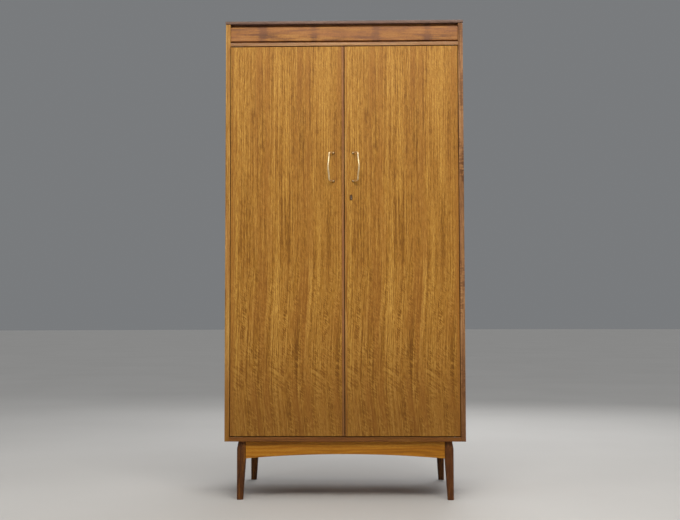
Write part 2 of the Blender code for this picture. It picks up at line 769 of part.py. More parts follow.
def keyhole(start_y, end_y):
    """Cutters for a keyhole, from one depth to another: a round hole with a slot below it."""
    half = KEYHOLE_SLOT_WIDTH / 2
    low = LOCK_LEVEL - KEYHOLE_RADIUS - KEYHOLE_SLOT_LENGTH
    start = Vector((KEYHOLE_X, start_y, LOCK_LEVEL))
    end = Vector((KEYHOLE_X, end_y, LOCK_LEVEL))
    return (
        rod(start, end, KEYHOLE_RADIUS, SMALL_ROUND_SIDES),
        block((KEYHOLE_X - half, start_y, low), (KEYHOLE_X + half, end_y, LOCK_LEVEL)),
    )


def build_lock(axis, door, strip, brass, steel):
    """A lock let into the back of the right door, its sliding bolt and the plate round its keyhole."""
    case_front = DOOR_BACK - LOCK_THICKNESS
    low_z = LOCK_LEVEL - LOCK_HEIGHT / 2
    far_corner = (LOCK_EDGE + LOCK_WIDTH, DOOR_BACK, low_z + LOCK_HEIGHT)
    case = piece("lock_case", block((LOCK_EDGE, case_front, low_z), far_corner), steel, axis)
    for board in (door, strip):
        pocket = block(
            (-OVERRUN, case_front - SEAT, low_z - FIT),
            (LOCK_EDGE + LOCK_WIDTH + FIT, DOOR_BACK + OVERRUN, low_z + LOCK_HEIGHT + FIT),
        )
        cut(board, pocket)

    bolt_level = LOCK_LEVEL + LOCK_BOLT_ABOVE_KEY
    half = LOCK_BOLT_HEIGHT / 2
    bolt_front = case_front + LOCK_PLATE + FIT
    bolt_back = DOOR_BACK - LOCK_PLATE - FIT
    bolt_end = LOCK_EDGE + LOCK_BOLT_LENGTH
    bolt = block(
        (LOCK_EDGE, bolt_front, bolt_level - half), (bolt_end, bolt_back, bolt_level + half)
    )
    piece("lock_bolt", bolt, brass, axis)
    tunnel = block(
        (LOCK_EDGE - OVERRUN, bolt_front - FIT, bolt_level - half - FIT),
        (bolt_end + FIT, bolt_back + FIT, bolt_level + half + FIT),
    )
    cut(case, tunnel)
    cut(case, *keyhole(case_front - OVERRUN, case_front + KEY_DEPTH))
    cut(door, *keyhole(DOOR_FRONT - OVERRUN, case_front))

    radius = ESCUTCHEON_WIDTH / 2
    straight = ESCUTCHEON_HEIGHT / 2 - radius
    outline = []
    for level in (1, -1):
        for step in range(PLATE_END_STEPS + 1):
            turn = math.radians(180 * step / PLATE_END_STEPS)
            corner = Vector((radius * math.cos(turn), 0, straight + radius * math.sin(turn)))
            outline.append(level * corner)
    plate_front = DOOR_FRONT - SEAT - ESCUTCHEON_THICKNESS
    place = (KEYHOLE_X, plate_front, LOCK_LEVEL - KEYHOLE_SLOT_LENGTH / 2)
    plate_shape = prism(outline, place, Y * ESCUTCHEON_THICKNESS)
    plate = piece("keyhole_escutcheon", plate_shape, brass, axis)
    cut(plate, *keyhole(plate_front - OVERRUN, DOOR_FRONT + OVERRUN))
    return bolt_level, (bolt_front, bolt_back)


def build_strike(axis, door, strip, bolt_level, bolt_depths, brass):
    """The plate in the left door's edge that the lock's bolt enters."""
    edge = -CENTRE_GAP / 2
    middle = sum(bolt_depths) / 2
    half_width, half_height = STRIKE_WIDTH / 2, STRIKE_HEIGHT / 2
    plate = piece(
        "strike_plate",
        block(
            (edge, middle - half_width, bolt_level - half_height),
            (edge - STRIKE_THICKNESS, middle + half_width, bolt_level + half_height),
        ),
        brass,
        axis,
    )
    pocket = block(
        (edge + OVERRUN, middle - half_width - FIT, bolt_level - half_height - FIT),
        (edge - STRIKE_THICKNESS - SEAT, middle + half_width + FIT, bolt_level + half_height + FIT),
    )
    reach = LOCK_BOLT_THROW - LOCK_EDGE - CENTRE_GAP / 2 + 2 * MORTISE_CLEARANCE
    half = LOCK_BOLT_HEIGHT / 2 + MORTISE_CLEARANCE
    for target in (plate, strip, door):
        mortise = block(
            (edge + OVERRUN, bolt_depths[0] - MORTISE_CLEARANCE, bolt_level - half),
            (edge - reach, bolt_depths[1] + MORTISE_CLEARANCE, bolt_level + half),
        )
        cut(target, mortise)
    cut(strip, pocket)


# ---------------------------------------------------------------- bolts of the left door


def build_door_bolt(name, level, axis, carcass_board, brass):
    """A rod in two guides on the inside of the left door, which slides into the carcass."""
    door_edge = DOOR_TOP if level > 0 else DOOR_BOTTOM
    carcass_face = HEAD_UNDERSIDE if level > 0 else BOTTOM_TOP
    rod_x = -BOLT_FROM_EDGE
    half = BOLT_PLATE_WIDTH / 2
    plate_back = DOOR_BACK + SEAT + BOLT_PLATE_THICKNESS
    plate_end = door_edge - level * BOLT_GUIDE_INSET
    plate_far = plate_end - level * BOLT_PLATE_LENGTH
    plate = piece(
        f"{name}_bolt_plate",
        block((rod_x - half, DOOR_BACK + SEAT, plate_end), (rod_x + half, plate_back, plate_far)),
        brass,
        axis,
    )
    guide_half = BOLT_ROD_RADIUS + BOLT_GUIDE_WALL
    inset = level * BOLT_GUIDE_INSET
    length = level * BOLT_GUIDE_LENGTH
    for start in (plate_end - inset, plate_far + inset + length):
        guide = block(
            (rod_x - guide_half, plate_back - BOLT_PLATE_THICKNESS / 2, start),
            (rod_x + guide_half, plate_back + BOLT_GUIDE_HEIGHT, start - length),
        )
        fuse(plate, guide)
    middle = Vector((rod_x, BOLT_Y, 0))
    bore = BOLT_ROD_RADIUS + FIT
    bore_start = middle + Z * (plate_end + level * OVERRUN)
    bore_end = middle + Z * (plate_far - level * OVERRUN)
    cut(plate, rod(bore_start, bore_end, bore, SMALL_ROUND_SIDES))

    tip = door_edge - level * BOLT_TIP_SETBACK
    tail = tip - level * BOLT_ROD_LENGTH
    bar = rod(middle + Z * tip, middle + Z * tail, BOLT_ROD_RADIUS, SMALL_ROUND_SIDES)
    bolt = piece(f"{name}_bolt", bar, brass, axis)
    knob = middle + Z * ((tail + tip) / 2 - level * BOLT_THROW / 2)
    knob_end = knob + Y * (BOLT_ROD_RADIUS + BOLT_KNOB_LENGTH)
    fuse(bolt, rod(knob, knob_end, BOLT_KNOB_RADIUS, SMALL_ROUND_SIDES))
    mouth = middle + Z * (carcass_face - level * OVERRUN)
    hole_end = middle + Z * (tip + level * (BOLT_THROW + MORTISE_CLEARANCE))
    hole_radius = BOLT_ROD_RADIUS + MORTISE_CLEARANCE
    cut(carcass_board, rod(mouth, hole_end, hole_radius, SMALL_ROUND_SIDES))


# ---------------------------------------------------------------- the wardrobe


def main():
    clear_scene()
    door_veneer = finish("door_veneer", (0.40, 0.20, 0.065), 0.42)
    side_veneer = finish("side_veneer", (0.36, 0.18, 0.065), 0.45)
    solid_wood = finish("solid_wood", (0.33, 0.15, 0.05), 0.45)
    leg_wood = finish("leg_wood", (0.16, 0.07, 0.022), 0.45)
    apron_wood = finish("apron_wood", (0.33, 0.16, 0.035), 0.45)
    dark_top = finish("dark_top", (0.13, 0.075, 0.06), 0.40)
    plywood = finish("plywood", (0.42, 0.28, 0.15), 0.70)
    brass = finish("brass", (0.78, 0.58, 0.28), 0.25, 1.0)
    steel = finish("steel", (0.55, 0.54, 0.52), 0.35, 1.0)

    build_sides(side_veneer, solid_wood)
    build_top(dark_top)
    head_panel = build_head_panel(solid_wood)
    build_fascia(side_veneer)
    bottom_board = build_bottom_board(side_veneer)
    build_back_panel(plywood)
    build_door_stops(solid_wood)
    build_hat_shelf(plywood, solid_wood)
    build_hanging_rail(steel)
    build_stand(bottom_board, leg_wood, apron_wood, steel)

    doors = {}
    for name, side in SIDES:
        axis = axis_marker(f"{name}_door_axis", (side * PIVOT_X, PIVOT_Y, 0))
        door, strip = build_door(name, side, axis, door_veneer, solid_wood)
        doors[name] = (axis, door, strip)
        for level_name, level in LEVELS:
            board = head_panel if level > 0 else bottom_board
            build_hinge(f"{name}_{level_name}", side, level, board, door, axis, steel)
        build_handle(name, side, axis, door, brass, steel)
    bolt_level, bolt_depths = build_lock(*doors["right"], brass, steel)
    build_strike(*doors["left"], bolt_level, bolt_depths, brass)
    for level_name, level in LEVELS:
        board = head_panel if level > 0 else bottom_board
        build_door_bolt(level_name, level, doors["left"][0], board, brass)


main()
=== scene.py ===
"""Looks of a two-door wardrobe that stands on four tapered legs.

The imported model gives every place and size. Each sub-assembly is a class that models its pieces
with bmesh inside the places of the CAD nodes that they stand for, and dresses them with
procedural finishes: slip-matched veneer, solid lippings, lacquered brass and plated steel.
"""

from __future__ import annotations

import json
import logging
import math
from dataclasses import dataclass, field, replace
from enum import Enum
from itertools import product
from typing import Callable, Sequence, Union

import bmesh
import bpy
from mathutils import Euler, Matrix, Vector

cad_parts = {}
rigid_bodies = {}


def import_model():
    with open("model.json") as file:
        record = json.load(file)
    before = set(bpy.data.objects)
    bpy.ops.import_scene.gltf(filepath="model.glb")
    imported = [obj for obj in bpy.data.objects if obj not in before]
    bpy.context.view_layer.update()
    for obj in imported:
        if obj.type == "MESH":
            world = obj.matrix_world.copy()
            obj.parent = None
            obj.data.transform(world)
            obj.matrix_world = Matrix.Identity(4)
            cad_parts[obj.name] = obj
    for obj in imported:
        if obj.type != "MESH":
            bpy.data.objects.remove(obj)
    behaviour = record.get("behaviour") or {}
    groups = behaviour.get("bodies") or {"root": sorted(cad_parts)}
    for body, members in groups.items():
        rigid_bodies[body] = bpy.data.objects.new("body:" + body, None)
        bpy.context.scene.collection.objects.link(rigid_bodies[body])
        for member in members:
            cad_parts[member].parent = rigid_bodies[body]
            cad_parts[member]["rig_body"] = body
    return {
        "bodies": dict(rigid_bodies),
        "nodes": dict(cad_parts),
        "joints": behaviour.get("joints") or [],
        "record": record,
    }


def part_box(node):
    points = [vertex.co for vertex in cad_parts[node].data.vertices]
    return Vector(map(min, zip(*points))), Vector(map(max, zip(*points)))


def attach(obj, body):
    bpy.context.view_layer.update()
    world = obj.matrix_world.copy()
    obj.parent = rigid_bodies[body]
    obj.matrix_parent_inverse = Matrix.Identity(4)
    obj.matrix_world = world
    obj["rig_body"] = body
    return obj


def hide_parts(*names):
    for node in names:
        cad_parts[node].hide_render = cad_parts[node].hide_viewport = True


LOG = logging.getLogger("wardrobe")

Colour = tuple[float, float, float]
Value = Union[float, bpy.types.NodeSocket]

MERGE_DISTANCE = 1e-6
PLANE_TOLERANCE = 2e-5
FLAT_ANGLE = math.radians(1)
ARRIS_ANGLE = math.radians(40)
UP = Vector((0, 0, 1))
FORWARD = Vector((0, -1, 0))
BACKWARD = Vector((0, 1, 0))
RIGHTWARD = Vector((1, 0, 0))
DOWN = Vector((0, 0, -1))
UPRIGHT_TURN = Matrix.Rotation(math.pi / 2, 3, "X")
SIDES = {"left": -1, "right": 1}
ENDS = {"front": -1, "rear": 1}
LEVELS = {"upper": 1, "lower": -1}


# ---------------------------------------------------------------- finishes


class NodeSketch:
    """A material's node tree, with one short call for each kind of node that a finish needs."""

    def __init__(self, name: str) -> None:
        """Start an empty material.

        Args:
            name: The material's name.
        """
        self.material = bpy.data.materials.new(name)
        self.material.use_nodes = True
        self.tree = self.material.node_tree
        self.shader = self.tree.nodes["Principled BSDF"]

    def node(self, kind: str, **settings: object) -> bpy.types.Node:
        """Add a node.

        Args:
            kind: The part of its type's name after ShaderNode.
            **settings: Properties to set on it.

        Returns:
            The new node.
        """
        made = self.tree.nodes.new(f"ShaderNode{kind}")
        for name, value in settings.items():
            setattr(made, name, value)
        return made

    def feed(self, socket: bpy.types.NodeSocket, value: Value | Colour) -> None:
        """Link an output to a socket, or set the socket's own value.

        Args:
            socket: The input.
            value: An output socket, a number or a colour.
        """
        if isinstance(value, bpy.types.NodeSocket):
            self.tree.links.new(value, socket)
        elif isinstance(value, tuple) and socket.type == "RGBA":
            socket.default_value = (*value, 1.0)
        else:
            socket.default_value = value

    def math(self, operation: str, *values: Value, clamp: bool = False) -> bpy.types.NodeSocket:
        """Work out one number from others.

        Args:
            operation: The Math node's operation.
            *values: Its inputs.
            clamp: Whether the result is held between 0 and 1.

        Returns:
            The result's socket.
        """
        made = self.node("Math", operation=operation, use_clamp=clamp)
        for socket, value in zip(made.inputs, values):
            self.feed(socket, value)
        return made.outputs[0]

    def total(self, *terms: tuple[Value, float]) -> bpy.types.NodeSocket:
        """Add weighted values.

        Args:
            *terms: Pairs of a value and its weight.

        Returns:
            The sum's socket.
        """
        result: Value = 0.0
        for value, weight in terms:
            result = self.math("MULTIPLY_ADD", value, weight, result)
        return result

    def spread(
        self, value: Value, low: float, high: float, start: float = 0.0, end: float = 1.0
    ) -> bpy.types.NodeSocket:
        """Map a range of a value smoothly onto another range, held at both ends.

        Args:
            value: The value.
            low: Where the result is start.
            high: Where the result is end.
            start: The result at low.
            end: The result at high.

        Returns:
            The result's socket.
        """
        made = self.node("MapRange", interpolation_type="SMOOTHSTEP")
        for socket, number in zip(made.inputs, (value, low, high, start, end)):
            self.feed(socket, number)
        return made.outputs[0]

    def object_axes(self) -> tuple[bpy.types.NodeSocket, ...]:
        """The piece's own X, Y and Z as three sockets."""
        place = self.node("TexCoord").outputs["Object"]
        parts = self.node("SeparateXYZ")
        self.feed(parts.inputs[0], place)
        return tuple(parts.outputs)

    def noise(
        self,
        axes: Sequence[Value],
        sizes: Sequence[float],
        shift: float = 0.0,
        detail: float = 2.0,
        contrast: float = 0.2,
        crispness: float = 0.5,
    ) -> bpy.types.NodeSocket:
        """Soft random variation, stretched differently along three axes.

        Args:
            axes: The three coordinates, in metres.
            sizes: The size of one patch along each axis, in metres.
            shift: Moves the pattern, so that two uses differ.
            detail: How many finer layers it has.
            contrast: Half the range about the middle that fills 0 to 1.
            crispness: How strongly the finer layers show.

        Returns:
            A socket from 0 to 1.
        """
        join = self.node("CombineXYZ")
        for socket, axis in zip(join.inputs, axes):
            self.feed(socket, axis)
        scaled = self.node("Mapping")
        self.feed(scaled.inputs["Vector"], join.outputs[0])
        scaled.inputs["Scale"].default_value = [1 / size for size in sizes]
        scaled.inputs["Location"].default_value = (shift, shift * 0.7, shift * 1.3)
        made = self.node("TexNoise")
        self.feed(made.inputs["Vector"], scaled.outputs[0])
        made.inputs["Scale"].default_value = 1.0
        made.inputs["Detail"].default_value = detail
        made.inputs["Roughness"].default_value = crispness
        return self.spread(made.outputs[0], 0.5 - contrast, 0.5 + contrast)

    def blend(
        self, factor: Value, first: Value | Colour, second: Value | Colour
    ) -> bpy.types.NodeSocket:
        """Mix two colours.

        Args:
            factor: 0 for the first, 1 for the second.
            first: A colour or its socket.
            second: A colour or its socket.

        Returns:
            The mixed colour's socket.
        """
        made = self.node("Mix", data_type="RGBA")
        colours = [socket for socket in made.inputs if socket.type == "RGBA"]
        self.feed(made.inputs[0], factor)
        self.feed(colours[0], first)
        self.feed(colours[1], second)
        return next(socket for socket in made.outputs if socket.type == "RGBA")

    def steps(self, factor: Value, stops: Sequence[tuple[float, Colour]]) -> bpy.types.NodeSocket:
        """Turn a number into a colour.

        Args:
            factor: The number, from 0 to 1.
            stops: Places and their colours, from low to high.

        Returns:
            The colour's socket.
        """
        made = self.node("ValToRGB")
        ramp = made.color_ramp
        while len(ramp.elements) < len(stops):
            ramp.elements.new(0.5)
        for element, (place, colour) in zip(ramp.elements, stops):
            element.position = place
            element.color = (*colour, 1.0)
        self.feed(made.inputs[0], factor)
        return made.outputs[0]

    def relief(self, height: Value, depth: float, strength: float) -> None:
        """Give the surface a fine relief.

        Args:
            height: The height, from 0 to 1.
            depth: What a height of 1 stands for, in metres.
            strength: How much of it shows.
        """
        made = self.node("Bump")
        self.feed(made.inputs["Height"], height)
        made.inputs["Distance"].default_value = depth
        made.inputs["Strength"].default_value = strength
        self.feed(self.shader.inputs["Normal"], made.outputs[0])


class Grain(Enum):
    """The way that the fibres run: which axes go across, into and along the wood."""

    UPRIGHT = (0, 1, 2)
    SIDEWAYS = (2, 1, 0)
    DEEP = (0, 2, 1)
    UPRIGHT_ON_SIDE = (1, 0, 2)


@dataclass(frozen=True)
class Leaves:
    """Veneer leaves laid side by side, each cut from the log just behind the last one."""

    width: float
    first_edge: float
    slice_step: float = 0.0012
    slip: float = 0.006
    profile: tuple[tuple[float, float], ...] = ((0.0, 0.5), (1.0, 0.5))

    def wrap(
        self, sketch: NodeSketch, across: Value, along: Value
    ) -> tuple[bpy.types.NodeSocket, bpy.types.NodeSocket, bpy.types.NodeSocket]:
        """Repeat the figure from leaf to leaf.

        Args:
            sketch: The material.
            across: The coordinate across the leaves.
            along: The coordinate along them.

        Returns:
            The place across one leaf, the depth in the log and the shifted place along it.
        """
        turns = sketch.math("DIVIDE", sketch.math("SUBTRACT", across, self.first_edge), self.width)
        count = sketch.math("FLOOR", turns)
        inside = sketch.math("MULTIPLY", sketch.math("SUBTRACT", turns, count), self.width)
        depth = sketch.math("MULTIPLY", count, self.slice_step)
        shifted = sketch.math("MULTIPLY_ADD", count, self.slip, along)
        return inside, depth, shifted

    def streaks(self, sketch: NodeSketch, inside: Value) -> bpy.types.NodeSocket:
        """The broad light and dark streaks that every leaf has at the same places.

        Args:
            sketch: The material.
            inside: The place across one leaf.

        Returns:
            A socket from 0, dark, to 1, light.
        """
        share = sketch.math("DIVIDE", inside, self.width)
        return sketch.steps(share, [(place, (grey, grey, grey)) for place, grey in self.profile])


@dataclass(frozen=True)
class Drift:
    """A slow bend of the grain: it leans one way over one stretch and back over the next."""

    top: float
    turn: float
    bottom: float
    amount: float

    def bend(self, sketch: NodeSketch, across: Value, along: Value) -> bpy.types.NodeSocket:
        """Move the figure sideways by height.

        Args:
            sketch: The material.
            across: The coordinate across the grain.
            along: The coordinate along the grain.

        Returns:
            The moved coordinate across the grain.
        """
        out = sketch.spread(along, self.turn, self.top, self.amount, 0.0)
        back = sketch.spread(along, self.bottom, self.turn, -self.amount, 0.0)
        return sketch.total((across, 1.0), (out, 1.0), (back, 1.0))


@dataclass(frozen=True)
class Layer:
    """One kind of random patch in a material.

    Its size has three numbers: across the grain, into the wood and along the grain, in metres.
    """

    shift: float
    size: tuple[float, float, float]
    contrast: float
    detail: float = 1.0
    crispness: float = 0.5

    def lay(self, sketch: NodeSketch, axes: Sequence[Value], seed: float = 0.0) -> Value:
        """Build the layer.

        Args:
            sketch: The material.
            axes: The coordinates across, into and along the grain.
            seed: The material's own seed, which keeps two materials apart.

        Returns:
            A socket from 0 to 1.
        """
        shift = seed + self.shift
        return sketch.noise(axes, self.size, shift, self.detail, self.contrast, self.crispness)


RING_WANDER = Layer(31.0, (0.05, 0.05, 0.30), 0.25)
STROKE = Layer(41.0, (0.016, 0.02, 0.0042), 0.20)
STROKE_PATCH = Layer(47.0, (0.022, 0.03, 0.10), 0.14)
BLUSH_PATCH = Layer(53.0, (0.028, 0.028, 0.30), 0.18)
CROSS_MARK = Layer(61.0, (0.02, 0.02, 0.007), 0.12)
CROSS_PATCH = Layer(67.0, (0.05, 0.05, 0.16), 0.08)
RIPPLE = Layer(83.0, (0.060, 1.0, 0.0075), 0.20)
SMUDGE_PATCH = Layer(0.0, (0.05, 0.05, 0.014), 0.40)
METAL_SPECKS = Layer(9.0, (0.0012, 0.0012, 0.0012), 0.30)
FLOOR_PATCHES = Layer(2.0, (0.9, 0.9, 0.9), 0.30, detail=3.0)

FIGURE_SHIFTS = (3.1, 11.7, 23.9)
FIGURE_CONTRASTS = (0.20, 0.20, 0.22)
FIGURE_DETAIL = 3.0
FIGURE_CRISPNESS = 0.62
PORE_SHIFT = 71.0
PORE_CONTRAST = 0.16
PORE_EDGE = 0.45

TONE_STOPS = (0.22, 0.50, 0.78)
RING_BEND = 9.0
RING_MIX = (0.72, 0.13, 0.14)
STROKE_SLANT = math.radians(-42)
STROKE_FADE = 0.75
FAR_SHARE = 0.25
RIPPLE_LEAN = (0.80, 0.60)
RIPPLE_STREAK = (0.040, 0.060)
RIPPLE_DEPTH = 0.32
SMUDGE_SEED_STEP = 40
SMUDGE_FLOOR = 0.55
SMUDGE_DEPTH = 0.36
BLUSH_STREAKS = (0.35, 0.65, 1.3, 0.3)
HINGE_BAND_SHARE = 0.55
HINGE_BAND_HEIGHT = (0.9, 1.6)
HOLLOW_ROUGHNESS = 0.12
TONE_ROUGHNESS = 0.05
COAT_ROUGHNESS = 0.25
PORE_RELIEF_STRENGTH = 0.5
SPECK_ROUGHNESS = 0.06
SPECK_RELIEF_STRENGTH = 0.4


@dataclass(frozen=True)
class Wood:
    """A wood or veneer: its colours, the sizes of its figure, its lacquer and a painted shade that
    darkens it towards the floor.

    A figure's size has two numbers: across the grain and along it, in metres.
    """

    name: str
    dark: Colour
    middle: Colour
    light: Colour
    blush: Colour
    grain: Grain = Grain.UPRIGHT
    seed: float = 0.0
    leaves: Leaves | None = None
    drift: Drift | None = None
    cloud: tuple[float, float] = (0.026, 0.45)
    stripe: tuple[float, float] = (0.0030, 0.42)
    fleck: tuple[float, float] = (0.0019, 0.032)
    pore: tuple[float, float] = (0.0007, 0.011)
    weights: tuple[float, float, float] = (0.17, 0.43, 0.40)
    streak_weight: float = 0.0
    hinge_band: tuple[float, float] | None = None
    blush_share: float = 0.45
    mottle: float = 0.0
    mottle_height: float = 0.95
    ripples: tuple[tuple[float, float], ...] = ()
    smudges: tuple[float, ...] = ()
    smudge_width: float = 0.026
    cross_marks: float = 0.0
    rings: float = 0.0
    # Painted shade: how much of the dark colour is mixed in near the floor, fading out between two
    # heights, in place of the light's falloff.
    painted_foot_shade: float = 0.0
    painted_shade_heights: tuple[float, float] = (0.22, 0.72)
    pore_depth: float = 0.48
    roughness: float = 0.46
    gloss: float = 0.19
    coat: float = 0.0
    relief: float = 0.00012

    def tone(self, sketch: NodeSketch, axes: Sequence[Value]) -> Value:
        """Work out how light the wood is, from its clouds, stripes, flecks and rings.

        Args:
            sketch: The material.
            axes: The coordinates across, into and along the grain.

        Returns:
            A socket from about 0, dark, to 1, light.
        """
        terms = []
        for (wide, long), shift, contrast, weight in zip(
            (self.cloud, self.stripe, self.fleck), FIGURE_SHIFTS, FIGURE_CONTRASTS, self.weights
        ):
            size = (wide, wide, long)
            layer = Layer(shift, size, contrast, FIGURE_DETAIL, FIGURE_CRISPNESS)
            terms.append((layer.lay(sketch, axes, self.seed), weight))
        result = sketch.total(*terms)
        if self.rings:
            wander = RING_WANDER.lay(sketch, axes, self.seed)
            phase = sketch.total((axes[0], self.rings * math.tau), (wander, RING_BEND))
            wave = sketch.math("SINE", phase)
            result = sketch.total(*zip((result, wave, 1.0), RING_MIX))
        return result

    def strokes(self, sketch: NodeSketch, axes: Sequence[Value], height: Value) -> Value:
        """Short slanting strokes of ribbon figure, in patches that fade out upwards.

        Args:
            sketch: The material.
            axes: The coordinates across, into and along the grain.
            height: The height above the floor.

        Returns:
            A socket that is 0 away from the figure and swings either way in it.
        """
        across, through, along = axes
        level, plumb = math.cos(STROKE_SLANT), math.sin(STROKE_SLANT)
        rising = sketch.total((across, level), (along, plumb))
        falling = sketch.total((across, -plumb), (along, level))
        stroke = STROKE.lay(sketch, (rising, through, falling), self.seed)
        patch = STROKE_PATCH.lay(sketch, axes, self.seed)
        fade = self.mottle_height * STROKE_FADE
        low = sketch.spread(height, fade, self.mottle_height, 1.0, FAR_SHARE)
        swing = sketch.math("SUBTRACT", stroke, 0.5)
        return sketch.math("MULTIPLY", sketch.math("MULTIPLY", patch, low), swing)

    def ripple(
        self,
        sketch: NodeSketch,
        axes: Sequence[Value],
        height: Value,
        centre: float,
        reach: float,
    ) -> Value:
        """A level band of slanting ripples that lie on the light streak of each leaf.

        Args:
            sketch: The material.
            axes: The coordinates across one leaf, into the wood and along the grain.
            height: The height above the floor.
            centre: The height of the band's middle.
            reach: Half the band's height.

        Returns:
            A socket that is 0 away from the band and swings either way in it.
        """
        across, _, along = axes
        level, plumb = RIPPLE_LEAN
        rising = sketch.total((across, level), (along, -plumb))
        falling = sketch.total((across, plumb), (along, level))
        waves = RIPPLE.lay(sketch, (rising, 0.0, falling), self.seed)
        offset = sketch.math("ABSOLUTE", sketch.math("SUBTRACT", height, centre))
        band = sketch.spread(offset, reach / 2, reach, 1.0, 0.0)
        streak = sketch.spread(across, *RIPPLE_STREAK, 1.0, FAR_SHARE)
        swing = sketch.math("SUBTRACT", waves, 0.5)
        return sketch.math("MULTIPLY", sketch.math("MULTIPLY", band, streak), swing)

    def smudge(self, sketch: NodeSketch, axes: Sequence[Value], centre: float) -> Value:
        """A soft dark blur across the grain.

        Args:
            sketch: The material.
            axes: The coordinates across, into and along the grain.
            centre: Where the blur's middle lies along the grain.

        Returns:
            A socket from 0, away from the blur, to 1 in it.
        """
        offset = sketch.math("ABSOLUTE", sketch.math("SUBTRACT", axes[2], centre))
        shade = sketch.spread(offset, self.smudge_width * 0.1, self.smudge_width, 1.0, 0.0)
        soft = SMUDGE_PATCH.lay(sketch, axes, centre * SMUDGE_SEED_STEP)
        return sketch.math("MULTIPLY", shade, sketch.spread(soft, 0.0, 1.0, SMUDGE_FLOOR, 1.0))

    def marked(
        self, sketch: NodeSketch, tone: Value, axes: Sequence[Value], height: Value
    ) -> Value:
        """Add the figure that only some woods have.

        Args:
            sketch: The material.
            tone: How light the wood is without it.
            axes: The coordinates across, into and along the grain.
            height: The height above the floor.

        Returns:
            The tone with it.
        """
        marks = []
        if self.mottle:
            marks.append((self.strokes(sketch, axes, height), self.mottle))
        for centre, reach in self.ripples:
            marks.append((self.ripple(sketch, axes, height, centre, reach), RIPPLE_DEPTH))
        for centre in self.smudges:
            marks.append((self.smudge(sketch, axes, centre), -SMUDGE_DEPTH))
        if self.cross_marks:
            bars = CROSS_MARK.lay(sketch, axes, self.seed)
            rare = CROSS_PATCH.lay(sketch, axes, self.seed)
            marks.append((sketch.math("MULTIPLY", bars, rare), -self.cross_marks))
        return sketch.total((tone, 1.0), *marks) if marks else tone

    def blushed(
        self,
        sketch: NodeSketch,
        colour: Value,
        axes: Sequence[Value],
        streaks: Value,
        place: Sequence[Value],
    ) -> Value:
        """Redden the wood in patches, and beside the hinges where the veneer has a red edge.

        Args:
            sketch: The material.
            colour: The wood's colour without it.
            axes: The coordinates across, into and along the grain.
            streaks: How light each leaf's streak is.
            place: The piece's own X, Y and Z.

        Returns:
            The colour with it.
        """
        patches = BLUSH_PATCH.lay(sketch, axes, self.seed)
        share = sketch.math("MULTIPLY", patches, self.blush_share)
        if self.streak_weight:
            share = sketch.math("MULTIPLY", share, sketch.spread(streaks, *BLUSH_STREAKS))
        colour = sketch.blend(share, colour, self.blush)
        if self.hinge_band:
            edge, width = self.hinge_band
            near = sketch.math("ABSOLUTE", sketch.math("SUBTRACT", place[0], edge))
            band = sketch.spread(near, width * 0.4, width, HINGE_BAND_SHARE, 0.0)
            low = sketch.spread(place[2], *HINGE_BAND_HEIGHT, 1.0, FAR_SHARE)
            colour = sketch.blend(sketch.math("MULTIPLY", band, low), colour, self.blush)
        return colour

    def paint(self) -> bpy.types.Material:
        """Build the material.

        Returns:
            The material, on the piece's own coordinates.
        """
        sketch = NodeSketch(self.name)
        place = sketch.object_axes()
        axes = tuple(place[axis] for axis in self.grain.value)
        streaks: Value = 0.5
        if self.leaves:
            across, _, along = axes
            if self.drift:
                across = self.drift.bend(sketch, across, along)
            axes = self.leaves.wrap(sketch, across, along)
            streaks = self.leaves.streaks(sketch, axes[0])
        tone = self.tone(sketch, axes)
        if self.streak_weight:
            weight = self.streak_weight
            tone = sketch.total((tone, 1.0), (streaks, weight), (1.0, -weight / 2))
        tone = self.marked(sketch, tone, axes, place[2])
        colours = (self.dark, self.middle, self.light)
        colour = sketch.steps(tone, tuple(zip(TONE_STOPS, colours)))
        colour = self.blushed(sketch, colour, axes, streaks, place)
        wide, long = self.pore
        pores = Layer(PORE_SHIFT, (wide, wide, long), PORE_CONTRAST).lay(sketch, axes, self.seed)
        hollow = sketch.spread(pores, 0.0, PORE_EDGE, 1.0, 0.0)
        share = sketch.math("MULTIPLY", hollow, self.pore_depth)
        colour = sketch.blend(share, colour, self.dark)
        # Painted shade: the colour darkens towards the floor, standing in for the light's falloff.
        if self.painted_foot_shade:
            shade = sketch.spread(place[2], *self.painted_shade_heights, self.painted_foot_shade, 0.0)
            colour = sketch.blend(shade, colour, self.dark)
        roughness = sketch.total(
            (hollow, HOLLOW_ROUGHNESS),
            (tone, TONE_ROUGHNESS),
            (1.0, self.roughness - TONE_ROUGHNESS),
        )
        sketch.feed(sketch.shader.inputs["Base Color"], colour)
        sketch.feed(sketch.shader.inputs["Roughness"], roughness)
        sketch.shader.inputs["Specular IOR Level"].default_value = self.gloss
        sketch.shader.inputs["Coat Weight"].default_value = self.coat
        sketch.shader.inputs["Coat Roughness"].default_value = COAT_ROUGHNESS
        sketch.relief(pores, self.relief, PORE_RELIEF_STRENGTH)
        return sketch.material


@dataclass(frozen=True)
class Metal:
    """A metal: its bright and dulled colours, the size of its dull patches and its polish."""

    name: str
    bright: Colour
    dull: Colour
    polish: float
    dullness: float = 0.18
    patch: float = 0.012
    scratches: float = 0.000003

    def paint(self) -> bpy.types.Material:
        """Build the material.

        Returns:
            The material, on the piece's own coordinates.
        """
        sketch = NodeSketch(self.name)
        place = sketch.object_axes()
        patches = Layer(5.0, (self.patch,) * 3, 0.20, detail=3.0).lay(sketch, place)
        specks = METAL_SPECKS.lay(sketch, place)
        colour = sketch.blend(patches, self.bright, self.dull)
        roughness = sketch.total(
            (patches, self.dullness), (specks, SPECK_ROUGHNESS), (1.0, self.polish)
        )
        sketch.feed(sketch.shader.inputs["Base Color"], colour)
        sketch.feed(sketch.shader.inputs["Roughness"], roughness)
        sketch.shader.inputs["Metallic"].default_value = 1.0
        sketch.relief(specks, self.scratches, SPECK_RELIEF_STRENGTH)
        return sketch.material


